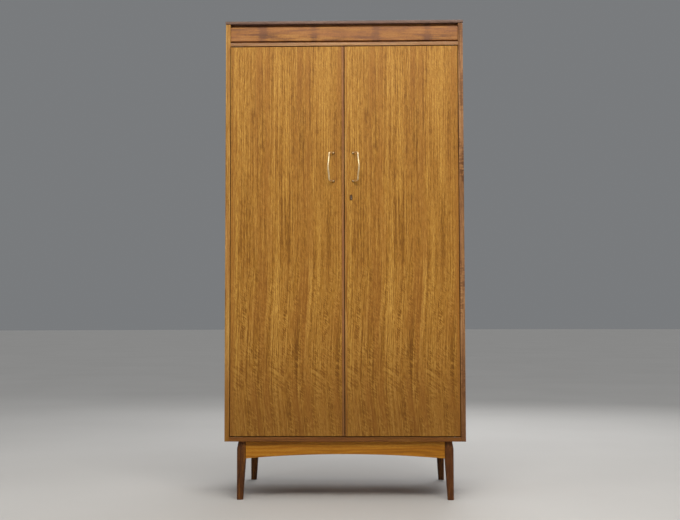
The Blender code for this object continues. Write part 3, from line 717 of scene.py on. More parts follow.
@dataclass(frozen=True)
class Floor:
    """A plain pale studio floor with a faint unevenness."""

    name: str = "studio_floor"
    colour: Colour = (0.50, 0.49, 0.475)
    worn: Colour = (0.47, 0.46, 0.445)
    roughness: float = 0.75

    def paint(self) -> bpy.types.Material:
        """Build the material.

        Returns:
            The material, on the floor's own coordinates.
        """
        sketch = NodeSketch(self.name)
        patches = FLOOR_PATCHES.lay(sketch, sketch.object_axes())
        colour = sketch.blend(patches, self.colour, self.worn)
        sketch.feed(sketch.shader.inputs["Base Color"], colour)
        sketch.shader.inputs["Roughness"].default_value = self.roughness
        return sketch.material


LEAF_STREAKS = (
    (0.00, 0.60),
    (0.14, 0.72),
    (0.26, 0.52),
    (0.40, 0.56),
    (0.52, 0.48),
    (0.62, 0.36),
    (0.78, 0.30),
    (0.88, 0.46),
    (0.95, 0.22),
    (1.00, 0.40),
)
LEFT_DOOR_VENEER = Wood(
    "left_door_veneer",
    dark=(0.140, 0.052, 0.005),
    middle=(0.358, 0.162, 0.020),
    light=(0.540, 0.296, 0.060),
    blush=(0.315, 0.128, 0.020),
    leaves=Leaves(width=0.1565, first_edge=-0.428, profile=LEAF_STREAKS),
    drift=Drift(top=0.95, turn=0.45, bottom=0.20, amount=0.018),
    streak_weight=0.17,
    mottle=0.40,
    ripples=((0.47, 0.055),),
    hinge_band=(-0.437, 0.024),
    # Painted shade towards the floor.
    painted_foot_shade=0.46,
)
RIGHT_DOOR_VENEER = replace(
    LEFT_DOOR_VENEER,
    name="right_door_veneer",
    leaves=Leaves(width=0.1565, first_edge=0.008, profile=LEAF_STREAKS),
    hinge_band=(0.437, 0.016),
)
INSIDE_VENEER = Wood(
    "inside_veneer_plain",
    dark=(0.190, 0.082, 0.026),
    middle=(0.330, 0.165, 0.062),
    light=(0.450, 0.250, 0.110),
    blush=(0.330, 0.140, 0.070),
    seed=80.0,
    cloud=(0.09, 0.9),
    stripe=(0.016, 0.5),
    roughness=0.58,
)
SIDE_VENEER = Wood(
    "side_veneer_golden",
    dark=(0.140, 0.052, 0.008),
    middle=(0.345, 0.160, 0.028),
    light=(0.500, 0.270, 0.066),
    blush=(0.320, 0.130, 0.034),
    grain=Grain.UPRIGHT_ON_SIDE,
    seed=120.0,
    leaves=Leaves(width=0.190, first_edge=-0.30),
    cloud=(0.07, 0.9),
    mottle=0.35,
    # Painted shade towards the floor.
    painted_foot_shade=0.40,
)
LEFT_LIPPING = Wood(
    "left_lipping_solid",
    dark=(0.180, 0.070, 0.008),
    middle=(0.385, 0.195, 0.038),
    light=(0.530, 0.300, 0.080),
    blush=(0.400, 0.190, 0.055),
    seed=150.0,
    stripe=(0.004, 0.25),
    fleck=(0.003, 0.05),
    weights=(0.35, 0.35, 0.30),
    # Painted shade towards the floor, stronger than on the doors.
    painted_foot_shade=0.72,
)
RIGHT_LIPPING = replace(
    LEFT_LIPPING,
    name="right_lipping_solid",
    dark=(0.105, 0.038, 0.009),
    middle=(0.320, 0.155, 0.052),
    light=(0.470, 0.270, 0.125),
    blush=(0.330, 0.160, 0.075),
    seed=171.0,
    cross_marks=0.34,
)
MEETING_LIPPING = replace(
    LEFT_LIPPING,
    name="meeting_lipping_solid",
    dark=(0.150, 0.060, 0.016),
    middle=(0.275, 0.122, 0.036),
    light=(0.385, 0.190, 0.064),
    blush=(0.265, 0.105, 0.048),
    seed=190.0,
    blush_share=0.7,
)
RIGHT_MEETING_LIPPING = replace(
    MEETING_LIPPING,
    name="right_meeting_lipping_solid",
    dark=(0.170, 0.066, 0.009),
    middle=(0.350, 0.158, 0.026),
    light=(0.500, 0.270, 0.070),
    blush=(0.320, 0.132, 0.034),
    seed=203.0,
    blush_share=0.4,
)
FASCIA_VENEER = Wood(
    "fascia_veneer",
    dark=(0.126, 0.052, 0.024),
    middle=(0.310, 0.132, 0.030),
    light=(0.404, 0.197, 0.055),
    blush=(0.330, 0.135, 0.052),
    grain=Grain.SIDEWAYS,
    seed=210.0,
    cloud=(0.02, 0.12),
    stripe=(0.006, 0.20),
    fleck=(0.009, 0.0026),
    weights=(0.38, 0.42, 0.12),
    smudges=(-0.315, -0.115, 0.125, 0.320),
)
HEAD_EDGE = replace(
    LEFT_LIPPING,
    name="head_edge_solid",
    dark=(0.180, 0.080, 0.026),
    middle=(0.270, 0.132, 0.045),
    light=(0.400, 0.220, 0.090),
    blush=(0.330, 0.150, 0.060),
    grain=Grain.SIDEWAYS,
    seed=230.0,
    painted_foot_shade=0.0,
    roughness=0.34,
    coat=0.3,
)
BOTTOM_EDGE = Wood(
    "bottom_edge_solid",
    dark=(0.080, 0.028, 0.005),
    middle=(0.170, 0.060, 0.009),
    light=(0.260, 0.110, 0.020),
    blush=(0.190, 0.065, 0.018),
    grain=Grain.SIDEWAYS,
    seed=250.0,
    stripe=(0.004, 0.30),
    fleck=(0.002, 0.03),
    rings=160.0,
)
TOP_VENEER = Wood(
    "top_veneer_dark",
    dark=(0.050, 0.025, 0.018),
    middle=(0.122, 0.068, 0.044),
    light=(0.230, 0.135, 0.100),
    blush=(0.130, 0.065, 0.050),
    grain=Grain.SIDEWAYS,
    seed=270.0,
    roughness=0.40,
    coat=0.15,
)
APRON_WOOD = Wood(
    "apron_solid",
    dark=(0.235, 0.086, 0.005),
    middle=(0.365, 0.142, 0.008),
    light=(0.467, 0.211, 0.021),
    blush=(0.390, 0.135, 0.012),
    grain=Grain.SIDEWAYS,
    seed=290.0,
    cloud=(0.03, 0.35),
    stripe=(0.006, 0.25),
    fleck=(0.0025, 0.035),
    weights=(0.40, 0.35, 0.25),
    blush_share=0.3,
    rings=70.0,
    roughness=0.42,
)
LEG_WOOD = Wood(
    "leg_solid",
    dark=(0.036, 0.012, 0.003),
    middle=(0.095, 0.030, 0.004),
    light=(0.195, 0.075, 0.011),
    blush=(0.110, 0.034, 0.008),
    seed=310.0,
    cloud=(0.02, 0.12),
    stripe=(0.005, 0.12),
    fleck=(0.002, 0.03),
    roughness=0.44,
    gloss=0.20,
)
PLYWOOD = Wood(
    "plywood_plain",
    dark=(0.300, 0.185, 0.095),
    middle=(0.430, 0.290, 0.165),
    light=(0.540, 0.390, 0.240),
    blush=(0.450, 0.275, 0.160),
    seed=330.0,
    cloud=(0.12, 1.2),
    stripe=(0.012, 0.6),
    weights=(0.30, 0.30, 0.30),
    blush_share=0.25,
    pore_depth=0.25,
    roughness=0.72,
)
BRASS = Metal(
    "lacquered_brass",
    bright=(0.93, 0.80, 0.54),
    dull=(0.78, 0.60, 0.33),
    polish=0.27,
    dullness=0.12,
    scratches=0.0000012,
)
# Dark brass: the escutcheon's own dark bronze colour, and painted shade on the handles' feet.
DARK_BRASS_AND_PAINTED_SHADE = Metal(
    "dark_brass_and_painted_shade",
    bright=(0.23, 0.125, 0.055),
    dull=(0.075, 0.038, 0.018),
    polish=0.34,
    dullness=0.25,
    patch=0.005,
)
STEEL = Metal("plated_steel", bright=(0.62, 0.61, 0.59), dull=(0.40, 0.39, 0.37), polish=0.28)


# ---------------------------------------------------------------- bench tools


SCREW_RIM = 0.25
SCREW_SLOT = 0.13
SCREW_SLOT_FLOOR = 0.35
SCREW_SIDES = 24
SCREW_DOME_STEP = 15
EDGE_SHARE = 0.3
# Corners of turned shapes, as shares of their radius and of their length.
FOOT_PROFILE = (
    (0, 0),
    (1, 0),
    (1, 0.30),
    (0.90, 0.40),
    (0.72, 0.52),
    (0.66, 0.80),
    (0.52, 1),
    (0, 1),
)
KNOB_PROFILE = (
    (0, 0),
    (0.55, 0),
    (0.55, 0.45),
    (0.80, 0.60),
    (1, 0.74),
    (0.92, 0.90),
    (0.60, 0.985),
    (0, 1),
)


def eased(
    bm: bmesh.types.BMesh, edges: Sequence[bmesh.types.BMEdge], width: float, segments: int = 2
) -> None:
    """Round some edges.

    Args:
        bm: The mesh.
        edges: Its edges to round.
        width: How far the rounding reaches, in metres.
        segments: How many faces it has.
    """
    bmesh.ops.bevel(
        bm,
        geom=list(edges),
        offset=width,
        offset_type="OFFSET",
        segments=segments,
        profile=0.5,
        affect="EDGES",
        clamp_overlap=True,
        material=-1,
    )


def sharp_edges(bm: bmesh.types.BMesh) -> list[bmesh.types.BMEdge]:
    """The edges where two faces meet at a sharp angle."""
    return [e for e in bm.edges if e.is_manifold and e.calc_face_angle(0.0) > ARRIS_ANGLE]


def extent(edge: bmesh.types.BMEdge, axis: int) -> float:
    """How far an edge reaches along an axis."""
    return abs(edge.verts[0].co[axis] - edge.verts[1].co[axis])


def block(low: Vector, high: Vector) -> bmesh.types.BMesh:
    """A box between two corners.

    Args:
        low: Its lowest corner.
        high: Its highest corner.

    Returns:
        The box.
    """
    bm = bmesh.new()
    bmesh.ops.create_cube(bm, size=1.0)
    bmesh.ops.scale(bm, vec=high - low, verts=bm.verts)
    bmesh.ops.translate(bm, vec=(low + high) / 2, verts=bm.verts)
    return bm


def turned(
    profile: Sequence[tuple[float, float]], sides: int = 32, closed: bool = False
) -> bmesh.types.BMesh:
    """A round shape turned about Z.

    Args:
        profile: Corners as (radius, height).
        sides: How many faces go round.
        closed: Whether the profile closes on itself, as a ring's does.

    Returns:
        The shape, with its faces pointing outwards.
    """
    bm = bmesh.new()
    points = [bm.verts.new((radius, 0, height)) for radius, height in profile]
    chain = list(zip(points, points[1:])) + ([(points[-1], points[0])] if closed else [])
    for first, second in chain:
        bm.edges.new((first, second))
    bmesh.ops.spin(
        bm,
        geom=bm.verts[:] + bm.edges[:],
        cent=(0, 0, 0),
        axis=UP,
        angle=math.tau,
        steps=sides,
        use_merge=True,
    )
    bmesh.ops.remove_doubles(bm, verts=bm.verts, dist=MERGE_DISTANCE)
    bmesh.ops.recalc_face_normals(bm, faces=bm.faces)
    return bm


def aimed(bm: bmesh.types.BMesh, place: Vector, direction: Vector) -> bmesh.types.BMesh:
    """Turn a shape's Z axis to a direction and put its origin at a place.

    Args:
        bm: The shape.
        place: Where its origin goes.
        direction: Where its Z axis points.

    Returns:
        The same shape.
    """
    turn = UP.rotation_difference(direction).to_matrix().to_4x4()
    bmesh.ops.transform(bm, matrix=Matrix.Translation(place) @ turn, verts=bm.verts)
    return bm


def joined(*shapes: bmesh.types.BMesh) -> bmesh.types.BMesh:
    """Put several shapes into the first one.

    Args:
        *shapes: The shapes, of which all but the first are freed.

    Returns:
        The first shape.
    """
    first, *others = shapes
    for other in others:
        spare = bpy.data.meshes.new("spare")
        other.to_mesh(spare)
        other.free()
        first.from_mesh(spare)
        bpy.data.meshes.remove(spare)
    return first


def swept(path: Sequence[Vector], radii: Sequence[float], sides: int = 20) -> bmesh.types.BMesh:
    """A round bar along a path, with closed ends.

    Args:
        path: Points along the bar's middle line.
        radii: The bar's radius at each of them.
        sides: How many faces go round.

    Returns:
        The bar.
    """
    bm = bmesh.new()
    bmesh.ops.create_circle(bm, cap_ends=True, radius=1.0, segments=sides)
    bm.faces.ensure_lookup_table()
    ring = bm.verts[:]
    cap = bm.faces[0]
    frames = []
    aim = UP
    turn = Matrix.Identity(3)
    for index, point in enumerate(path):
        before = path[max(index - 1, 0)]
        after = path[min(index + 1, len(path) - 1)]
        heading = (after - before).normalized()
        turn = aim.rotation_difference(heading).to_matrix() @ turn
        aim = heading
        frames.append(Matrix.Translation(point) @ turn.to_4x4() @ Matrix.Scale(radii[index], 4))
    bmesh.ops.transform(bm, matrix=frames[0], verts=ring)
    for last, following in zip(frames, frames[1:]):
        grown = bmesh.ops.extrude_face_region(bm, geom=[cap])["geom"]
        if last is not frames[0]:
            bmesh.ops.delete(bm, geom=[cap], context="FACES_ONLY")
        cap = next(item for item in grown if isinstance(item, bmesh.types.BMFace))
        bmesh.ops.transform(bm, matrix=following @ last.inverted(), verts=cap.verts[:])
    bmesh.ops.recalc_face_normals(bm, faces=bm.faces)
    return bm


def scaled(
    profile: Sequence[tuple[float, float]], radius: float, length: float
) -> list[tuple[float, float]]:
    """A profile's corners in metres, from shares of a radius and of a length."""
    return [(radius * out, length * up) for out, up in profile]


def slotted_screw(
    head_radius: float, head_height: float, shank_radius: float = 0.0, length: float = 0.0
) -> bmesh.types.BMesh:
    """A slotted screw with a domed head above Z = 0 and its shank below.

    Args:
        head_radius: The head's radius.
        head_height: The dome's height.
        shank_radius: The shank's radius.
        length: The shank's length, or 0 for a head alone.

    Returns:
        The screw.
    """
    rim = head_height * SCREW_RIM
    dome = []
    for degrees in range(0, 90, SCREW_DOME_STEP):
        turn = math.radians(degrees)
        rise = rim + head_height * (1 - SCREW_RIM) * math.sin(turn)
        dome.append((head_radius * math.cos(turn), rise))
    foot = [(0, -length), (shank_radius, -length), (shank_radius, 0)] if length else [(0, 0)]
    bm = turned([*foot, (head_radius, 0), *dome, (0, head_height)], SCREW_SIDES)
    half_slot = head_radius * SCREW_SLOT
    for side in SIDES.values():
        bmesh.ops.bisect_plane(
            bm,
            geom=bm.verts[:] + bm.edges[:] + bm.faces[:],
            plane_co=(side * half_slot, 0, 0),
            plane_no=(1, 0, 0),
        )
    centres = {face: face.calc_center_median() for face in bm.faces}
    crown = [face for face, spot in centres.items() if abs(spot.x) < half_slot and spot.z > rim]
    sunk = bmesh.ops.extrude_face_region(bm, geom=crown)["geom"]
    bmesh.ops.delete(bm, geom=crown, context="FACES")
    for vert in (item for item in sunk if isinstance(item, bmesh.types.BMVert)):
        vert.co.z = min(vert.co.z, head_height * SCREW_SLOT_FLOOR)
    bmesh.ops.recalc_face_normals(bm, faces=bm.faces)
    return bm


def screw_heads(
    low: Vector,
    high: Vector,
    direction: Vector,
    offsets: Sequence[float],
    radius: float,
    height: float,
) -> list[bmesh.types.BMesh]:
    """Slotted screw heads spaced evenly about the middle of a plate's face.

    Args:
        low: The plate's lowest corner.
        high: Its highest corner.
        direction: The way that the face looks.
        offsets: How far the heads stand from the middle along each axis, or 0.
        radius: A head's radius.
        height: A head's height.

    Returns:
        The heads.
    """
    half = (high - low) / 2
    face = low + half + Vector(part * reach for part, reach in zip(direction, half))
    steps = [(-offset, offset) if offset else (0,) for offset in offsets]
    return [
        aimed(slotted_screw(radius, height), face + Vector(step), direction)
        for step in product(*steps)
    ]


@dataclass
class Bench:
    """Where pieces are taken from the frame, finished and handed over."""

    frame: dict
    count: int = 0
    paints: dict[str, bpy.types.Material] = field(default_factory=dict)

    def box(self, node: str) -> tuple[Vector, Vector]:
        """The lowest and highest corners of a CAD node."""
        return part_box(node)

    def paint(self, finish: Wood | Metal) -> bpy.types.Material:
        """A finish's material, made the first time that it is asked for."""
        if finish.name not in self.paints:
            self.paints[finish.name] = finish.paint()
        return self.paints[finish.name]

    def copy(self, node: str) -> bmesh.types.BMesh:
        """A CAD node's shape with its triangles merged into whole faces.

        Args:
            node: The node's name.

        Returns:
            The shape, free to be worked on.
        """
        bm = bmesh.new()
        bm.from_mesh(self.frame["nodes"][node].data)
        bmesh.ops.remove_doubles(bm, verts=bm.verts, dist=MERGE_DISTANCE)
        bmesh.ops.dissolve_limit(
            bm,
            angle_limit=FLAT_ANGLE,
            verts=bm.verts,
            edges=bm.edges,
            use_dissolve_boundaries=False,
        )
        return bm

    def board(self, node: str, ease: float) -> bmesh.types.BMesh:
        """A board with the CAD node's holes and recesses, its outer arrises eased.

        Args:
            node: The node's name.
            ease: The width of the rounding on the arrises.

        Returns:
            The board.
        """
        bm = self.copy(node)
        low, high = self.box(node)

        def outer_planes(point: Vector) -> set[tuple[int, int]]:
            """The sides of the box that a point lies on."""
            found = set()
            for axis in range(3):
                for end, limit in enumerate((low, high)):
                    if abs(point[axis] - limit[axis]) < PLANE_TOLERANCE:
                        found.add((axis, end))
            return found

        arrises = [
            edge
            for edge in sharp_edges(bm)
            if len(outer_planes(edge.verts[0].co) & outer_planes(edge.verts[1].co)) > 1
            and edge.calc_length() > 4 * ease
        ]
        eased(bm, arrises, ease)
        return bm

    def hand_over(
        self,
        name: str,
        bm: bmesh.types.BMesh,
        slot: str,
        finishes: Sequence[Wood | Metal],
        nodes: Sequence[str] = (),
        body: str | None = None,
        choose: Callable[[bmesh.types.BMFace], int] | None = None,
    ) -> None:
        """Turn a shape into a finished piece that rides on its body.

        Args:
            name: The piece's name.
            bm: Its shape, which is freed.
            slot: The record's material slot; not used.
            finishes: Its finishes.
            nodes: The CAD nodes that it stands for.
            body: The body that it rides on, by default that of its first node.
            choose: Gives the index of a face's finish.
        """
        if choose:
            for face in bm.faces:
                face.material_index = choose(face)
        mesh = bpy.data.meshes.new(name)
        bm.to_mesh(mesh)
        bm.free()
        mesh.shade_smooth()
        mesh.set_sharp_from_angle(angle=ARRIS_ANGLE)
        for finish in finishes:
            mesh.materials.append(self.paint(finish))
        piece = bpy.data.objects.new(name, mesh)
        piece.modifiers.new("even_shading", "WEIGHTED_NORMAL").keep_sharp = True
        bpy.context.scene.collection.objects.link(piece)
        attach(piece, body or self.frame["nodes"][nodes[0]]["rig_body"])
        if nodes:
            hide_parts(*nodes)
        self.count += 1
        LOG.info("%s: %d faces", name, len(mesh.polygons))

    def finish(
        self,
        node: str,
        bm: bmesh.types.BMesh,
        slot: str,
        *finishes: Wood | Metal,
        choose: Callable[[bmesh.types.BMFace], int] | None = None,
    ) -> None:
        """Hand over a shape as the finished piece of one CAD node.

        Args:
            node: The node's name.
            bm: The shape, which is freed.
            slot: The record's material slot.
            *finishes: The piece's finishes.
            choose: Gives the index of a face's finish.
        """
        self.hand_over(f"finished_{node}", bm, slot, finishes, (node,), choose=choose)

    def finish_board(
        self,
        node: str,
        ease: float,
        slot: str,
        *finishes: Wood | Metal,
        choose: Callable[[bmesh.types.BMFace], int] | None = None,
    ) -> None:
        """Hand over a CAD node's own shape with its outer arrises eased.

        Args:
            node: The node's name.
            ease: The width of the rounding on the arrises.
            slot: The record's material slot.
            *finishes: The piece's finishes.
            choose: Gives the index of a face's finish.
        """
        self.finish(node, self.board(node, ease), slot, *finishes, choose=choose)


def facing(axis: int, sign: int, share: float = 0.9) -> Callable[[bmesh.types.BMFace], bool]:
    """A test for faces that look along an axis.

    Args:
        axis: 0, 1 or 2 for X, Y or Z.
        sign: 1 or -1.
        share: How much of the normal points that way.

    Returns:
        The test.
    """
    return lambda face: face.normal[axis] * sign > share


# ---------------------------------------------------------------- carcass


@dataclass
class Carcass:
    """The cabinet without its doors: sides, top, fascia, head panel, bottom board and back."""

    bench: Bench
    board_ease: float = 0.0007
    lipping_ease: float = 0.0009
    top_ease: float = 0.0016
    pin_radius: float = 0.0018
    pin_height: float = 0.0006
    pin_sides: int = 12
    pin_pitch: float = 0.150
    pin_inset: float = 0.012
    side_seed_step: float = 7.0

    def build(self) -> None:
        """Make every piece of the cabinet."""
        self.build_sides()
        self.bench.finish_board("top_board", self.top_ease, "dark_top", TOP_VENEER)
        self.build_fascia()
        self.build_edged_boards()
        self.build_back()

    def build_sides(self) -> None:
        """Veneered sides with a solid strip on the front edge of each."""
        for (name, side), lipping in zip(SIDES.items(), (LEFT_LIPPING, RIGHT_LIPPING)):
            seed = SIDE_VENEER.seed + self.side_seed_step * side
            self.bench.finish_board(
                f"{name}_side",
                self.board_ease,
                "side_veneer",
                replace(SIDE_VENEER, name=f"{name}_side_veneer", seed=seed),
                INSIDE_VENEER,
                choose=self.side_chooser(side),
            )
            self.bench.finish_board(
                f"{name}_side_lipping", self.lipping_ease, "solid_wood", lipping
            )

    @staticmethod
    def side_chooser(side: int) -> Callable[[bmesh.types.BMFace], int]:
        """A test that gives 0 for a side's outside, front and back faces, and 1 for the rest."""
        outside = facing(0, side)
        return lambda face: 0 if outside(face) or abs(face.normal.y) > 0.5 else 1

    def build_fascia(self) -> None:
        """The fascia between its two shadow gaps, its long front arrises eased."""
        bm = self.bench.copy("fascia")
        low, _ = self.bench.box("fascia")
        front = low.y + PLANE_TOLERANCE
        arrises = [e for e in sharp_edges(bm) if all(vert.co.y < front for vert in e.verts)]
        eased(bm, arrises, self.lipping_ease)
        self.bench.finish("fascia", bm, "side_veneer", FASCIA_VENEER)

    def build_edged_boards(self) -> None:
        """The head panel and the bottom board, each with a finished front edge."""
        front = facing(1, -1, EDGE_SHARE)
        for node, edge, slot in (
            ("head_panel", HEAD_EDGE, "solid_wood"),
            ("bottom_board", BOTTOM_EDGE, "side_veneer"),
        ):
            self.bench.finish_board(
                node,
                self.lipping_ease,
                slot,
                edge,
                replace(INSIDE_VENEER, name=f"{node}_inside", grain=Grain.SIDEWAYS),
                choose=lambda face: 0 if front(face) else 1,
            )

    def build_back(self) -> None:
        """A thin plywood back, held by rows of panel pins."""
        self.bench.finish_board("back_panel", self.board_ease / 2, "plywood", PLYWOOD)
        low, high = self.bench.box("back_panel")
        radius, rise = self.pin_radius, self.pin_height
        pins = []
        for start, end, inward in (
            ((low.x, low.z), (low.x, high.z), (1, 0)),
            ((high.x, low.z), (high.x, high.z), (-1, 0)),
            ((low.x, low.z), (high.x, low.z), (0, 1)),
            ((low.x, high.z), (high.x, high.z), (0, -1)),
        ):
            inset = Vector(inward) * self.pin_inset
            first, last = Vector(start) + inset, Vector(end) + inset
            steps = round((last - first).length / self.pin_pitch)
            for step in range(steps):
                spot = first.lerp(last, (step + 0.5) / steps)
                profile = ((0, -rise), (radius, -rise), (radius, 0), (0, rise))
                head = turned(profile, self.pin_sides)
                pins.append(aimed(head, Vector((spot.x, high.y, spot.y)), BACKWARD))
        self.bench.hand_over("back_panel_pins", joined(*pins), "steel", (STEEL,), body="carcass")


# ---------------------------------------------------------------- inside


@dataclass
class Interior:
    """Hat shelf on its battens, hanging rail in its sockets, and the stops for the doors."""

    bench: Bench
    ease: float = 0.0008
    rail_wall: float = 0.0012
    rail_sides: int = 48
    flange_thickness: float = 0.003
    flange_rim: float = 0.6
    cup_clearance: float = 0.0003
    cup_wall: float = 0.002
    cup_ease: float = 0.0005
    fillet: float = 0.001
    screw_radius: float = 0.0028
    screw_height: float = 0.0012

    def build(self) -> None:
        """Make every piece inside the cabinet."""
        shelf = replace(PLYWOOD, name="shelf_plywood", grain=Grain.SIDEWAYS)
        self.bench.finish_board("hat_shelf", self.ease, "plywood", shelf)
        stop = replace(MEETING_LIPPING, name="stop_wood", grain=Grain.SIDEWAYS)
        batten = replace(MEETING_LIPPING, name="batten_wood", grain=Grain.DEEP)
        for part, wood in (("door_stop", stop), ("shelf_batten", batten)):
            for name in SIDES:
                self.bench.finish_board(f"{name}_{part}", self.ease, "solid_wood", wood)
        self.build_rail()

    def build_rail(self) -> None:
        """A plated tube, and the two screwed sockets that hold its ends."""
        low, high = self.bench.box("hanging_rail")
        radius = (high.z - low.z) / 2
        length = high.x - low.x
        inside = radius - self.rail_wall
        profile = ((radius, 0), (radius, length), (inside, length), (inside, 0))
        tube = turned(profile, self.rail_sides, closed=True)
        middle = (low + high) / 2
        aimed(tube, Vector((low.x, middle.y, middle.z)), RIGHTWARD)
        self.bench.finish("hanging_rail", tube, "steel", STEEL)
        for name, side in SIDES.items():
            self.build_socket(f"{name}_rail_socket", side, radius)

    def build_socket(self, node: str, side: int, rail_radius: float) -> None:
        """A cup on a round flange with two screws.

        Args:
            node: The CAD node's name.
            side: -1 or 1.
            rail_radius: The radius of the rail that it holds.
        """
        low, high = self.bench.box(node)
        flange = (high.z - low.z) / 2
        depth = high.x - low.x
        bore = rail_radius + self.cup_clearance
        ring = bore + self.cup_wall
        face = self.flange_thickness
        profile = (
            (0, 0),
            (flange, 0),
            (flange, face * self.flange_rim),
            (flange - self.fillet, face),
            (ring + self.fillet, face),
            (ring, face + self.fillet),
            (ring, depth - self.cup_ease),
            (ring - self.cup_ease, depth),
            (bore, depth),
            (bore, face),
            (0, face),
        )
        screws = []
        for way in LEVELS.values():
            head = slotted_screw(self.screw_radius, self.screw_height)
            screws.append(aimed(head, Vector((0, way * (ring + flange) / 2, face)), UP))
        shape = joined(turned(profile, self.rail_sides), *screws)
        middle = (low + high) / 2
        wall = high.x if side > 0 else low.x
        aimed(shape, Vector((wall, middle.y, middle.z)), Vector((-side, 0, 0)))
        self.bench.finish(node, shape, "steel", STEEL)


# ---------------------------------------------------------------- stand


@dataclass
class Stand:
    """Four tapered legs joined by two arched aprons and two straight rails."""

    bench: Bench
    leg_size: float = 0.0335
    foot_size: float = 0.0235
    top_inset: float = 0.005
    shoulder_drop: float = 0.0277
    taper_start: float = 0.155
    leg_rounding: float = 0.006
    foot_ease: float = 0.0012
    arch_steps: int = 64
    arch_rise: float = 0.0165
    tenon_length: float = 0.0138
    rail_ease: float = 0.0022
    block_ease: float = 0.0006
    screw_head_height: float = 0.0025
    screw_radius: float = 0.0022
    leg_seed: float = 310.0
    leg_seed_steps: tuple[float, float] = (13.0, 5.0)
    rear_apron_seed: float = 299.0
    rail_seed: float = 305.0
    block_seed: float = 322.0

    def build(self) -> None:
        """Make every piece of the stand."""
        for end_name, end in ENDS.items():
            for side_name, side in SIDES.items():
                self.build_leg(f"{end_name}_{side_name}_leg", side, end)
                self.build_corner(f"{end_name}_{side_name}")
            self.build_apron(f"{end_name}_apron")
        for side_name in SIDES:
            self.build_rail(f"{side_name}_stand_rail")

    def build_leg(self, node: str, side: int, end: int) -> None:
        """One leg: its two inner faces taper to the foot and its outer faces lean in at the top.

        Args:
            node: The CAD node's name.
            side: -1 for the left, 1 for the right.
            end: -1 for the front, 1 for the rear.
        """
        low, high = self.bench.box(node)
        corner = Vector((high.x if side > 0 else low.x, high.y if end > 0 else low.y, 0))
        levels = (
            (low.z, 0.0, self.foot_size),
            (self.taper_start, 0.0, self.leg_size),
            (high.z - self.shoulder_drop, 0.0, self.leg_size),
            (high.z, self.top_inset, self.leg_size),
        )
        bm = bmesh.new()
        bmesh.ops.create_grid(bm, x_segments=1, y_segments=1, size=0.5)
        bm.faces.ensure_lookup_table()
        cap = start = bm.faces[0]
        previous = Matrix.Identity(4)
        for height, near, far in levels:
            if height > low.z:
                grown = bmesh.ops.extrude_face_region(bm, geom=[cap])["geom"]
                if cap is not start:
                    bmesh.ops.delete(bm, geom=[cap], context="FACES_ONLY")
                cap = next(item for item in grown if isinstance(item, bmesh.types.BMFace))
            middle = corner + Vector((-side, -end, 0)) * (near + far) / 2 + UP * height
            width = far - near
            stage = Matrix.Translation(middle) @ Matrix.Diagonal((width, width, 1.0, 1.0))
            bmesh.ops.transform(bm, matrix=stage @ previous.inverted(), verts=cap.verts[:])
            previous = stage
        bmesh.ops.recalc_face_normals(bm, faces=bm.faces)
        upright = [e for e in bm.edges if extent(e, 2) > self.leg_rounding]
        eased(bm, upright, self.leg_rounding, segments=5)
        foot = low.z + MERGE_DISTANCE
        rim = [e for e in sharp_edges(bm) if all(vert.co.z < foot for vert in e.verts)]
        eased(bm, rim, self.foot_ease)
        side_step, end_step = self.leg_seed_steps
        seed = self.leg_seed + side_step * side + end_step * end
        self.bench.finish(node, bm, "leg_wood", replace(LEG_WOOD, name=f"{node}_wood", seed=seed))

    def build_apron(self, node: str) -> None:
        """A board with an arched lower edge, its arrises well rounded.

        Args:
            node: The CAD node's name.
        """
        low, high = self.bench.box(node)
        half = (high.x - low.x) / 2 - self.tenon_length
        height = high.z - low.z
        bm = bmesh.new()
        bmesh.ops.create_grid(bm, x_segments=self.arch_steps, y_segments=1, size=0.5)
        bmesh.ops.scale(bm, vec=(2 * half, height, 1), verts=bm.verts)
        bmesh.ops.rotate(bm, cent=(0, 0, 0), matrix=UPRIGHT_TURN, verts=bm.verts)
        bmesh.ops.translate(bm, vec=(0, low.y, low.z + height / 2), verts=bm.verts)
        radius = (half**2 + self.arch_rise**2) / (2 * self.arch_rise)
        for vert in bm.verts:
            if vert.co.z < low.z + height / 2:
                vert.co.z += math.sqrt(radius**2 - vert.co.x**2) - radius + self.arch_rise
        grown = bmesh.ops.extrude_face_region(bm, geom=bm.faces[:])["geom"]
        moved = [item for item in grown if isinstance(item, bmesh.types.BMVert)]
        bmesh.ops.translate(bm, vec=(0, high.y - low.y, 0), verts=moved)
        bmesh.ops.recalc_face_normals(bm, faces=bm.faces)
        long_arrises = [e for e in sharp_edges(bm) if extent(e, 0) > MERGE_DISTANCE]
        eased(bm, long_arrises, self.rail_ease, segments=3)
        finish = APRON_WOOD
        if not node.startswith("front"):
            finish = replace(APRON_WOOD, name=f"{node}_wood", seed=self.rear_apron_seed)
        self.bench.finish(node, bm, "apron_wood", finish)

    def build_rail(self, node: str) -> None:
        """A straight rail between a front leg and a rear leg.

        Args:
            node: The CAD node's name.
        """
        low, high = self.bench.box(node)
        inset = Vector((0, self.tenon_length, 0))
        bm = block(low + inset, high - inset)
        long_edges = [e for e in bm.edges if extent(e, 1) > MERGE_DISTANCE]
        eased(bm, long_edges, self.rail_ease, segments=3)
        finish = replace(APRON_WOOD, name=f"{node}_wood", grain=Grain.DEEP, seed=self.rail_seed)
        self.bench.finish(node, bm, "apron_wood", finish)

    def build_corner(self, name: str) -> None:
        """A glued corner block and the screw through it.

        Args:
            name: The corner's name, such as front_left.
        """
        block_wood = replace(APRON_WOOD, name="corner_block_wood", seed=self.block_seed)
        self.bench.finish_board(f"{name}_corner_block", self.block_ease, "apron_wood", block_wood)
        node = f"{name}_stand_screw"
        low, high = self.bench.box(node)
        middle = (low + high) / 2
        rise = self.screw_head_height
        length = high.z - low.z - rise
        screw = slotted_screw((high.x - low.x) / 2, rise, self.screw_radius, length)
        aimed(screw, Vector((middle.x, middle.y, low.z + rise)), DOWN)
        self.bench.finish(node, screw, "steel", STEEL)


# ---------------------------------------------------------------- doors


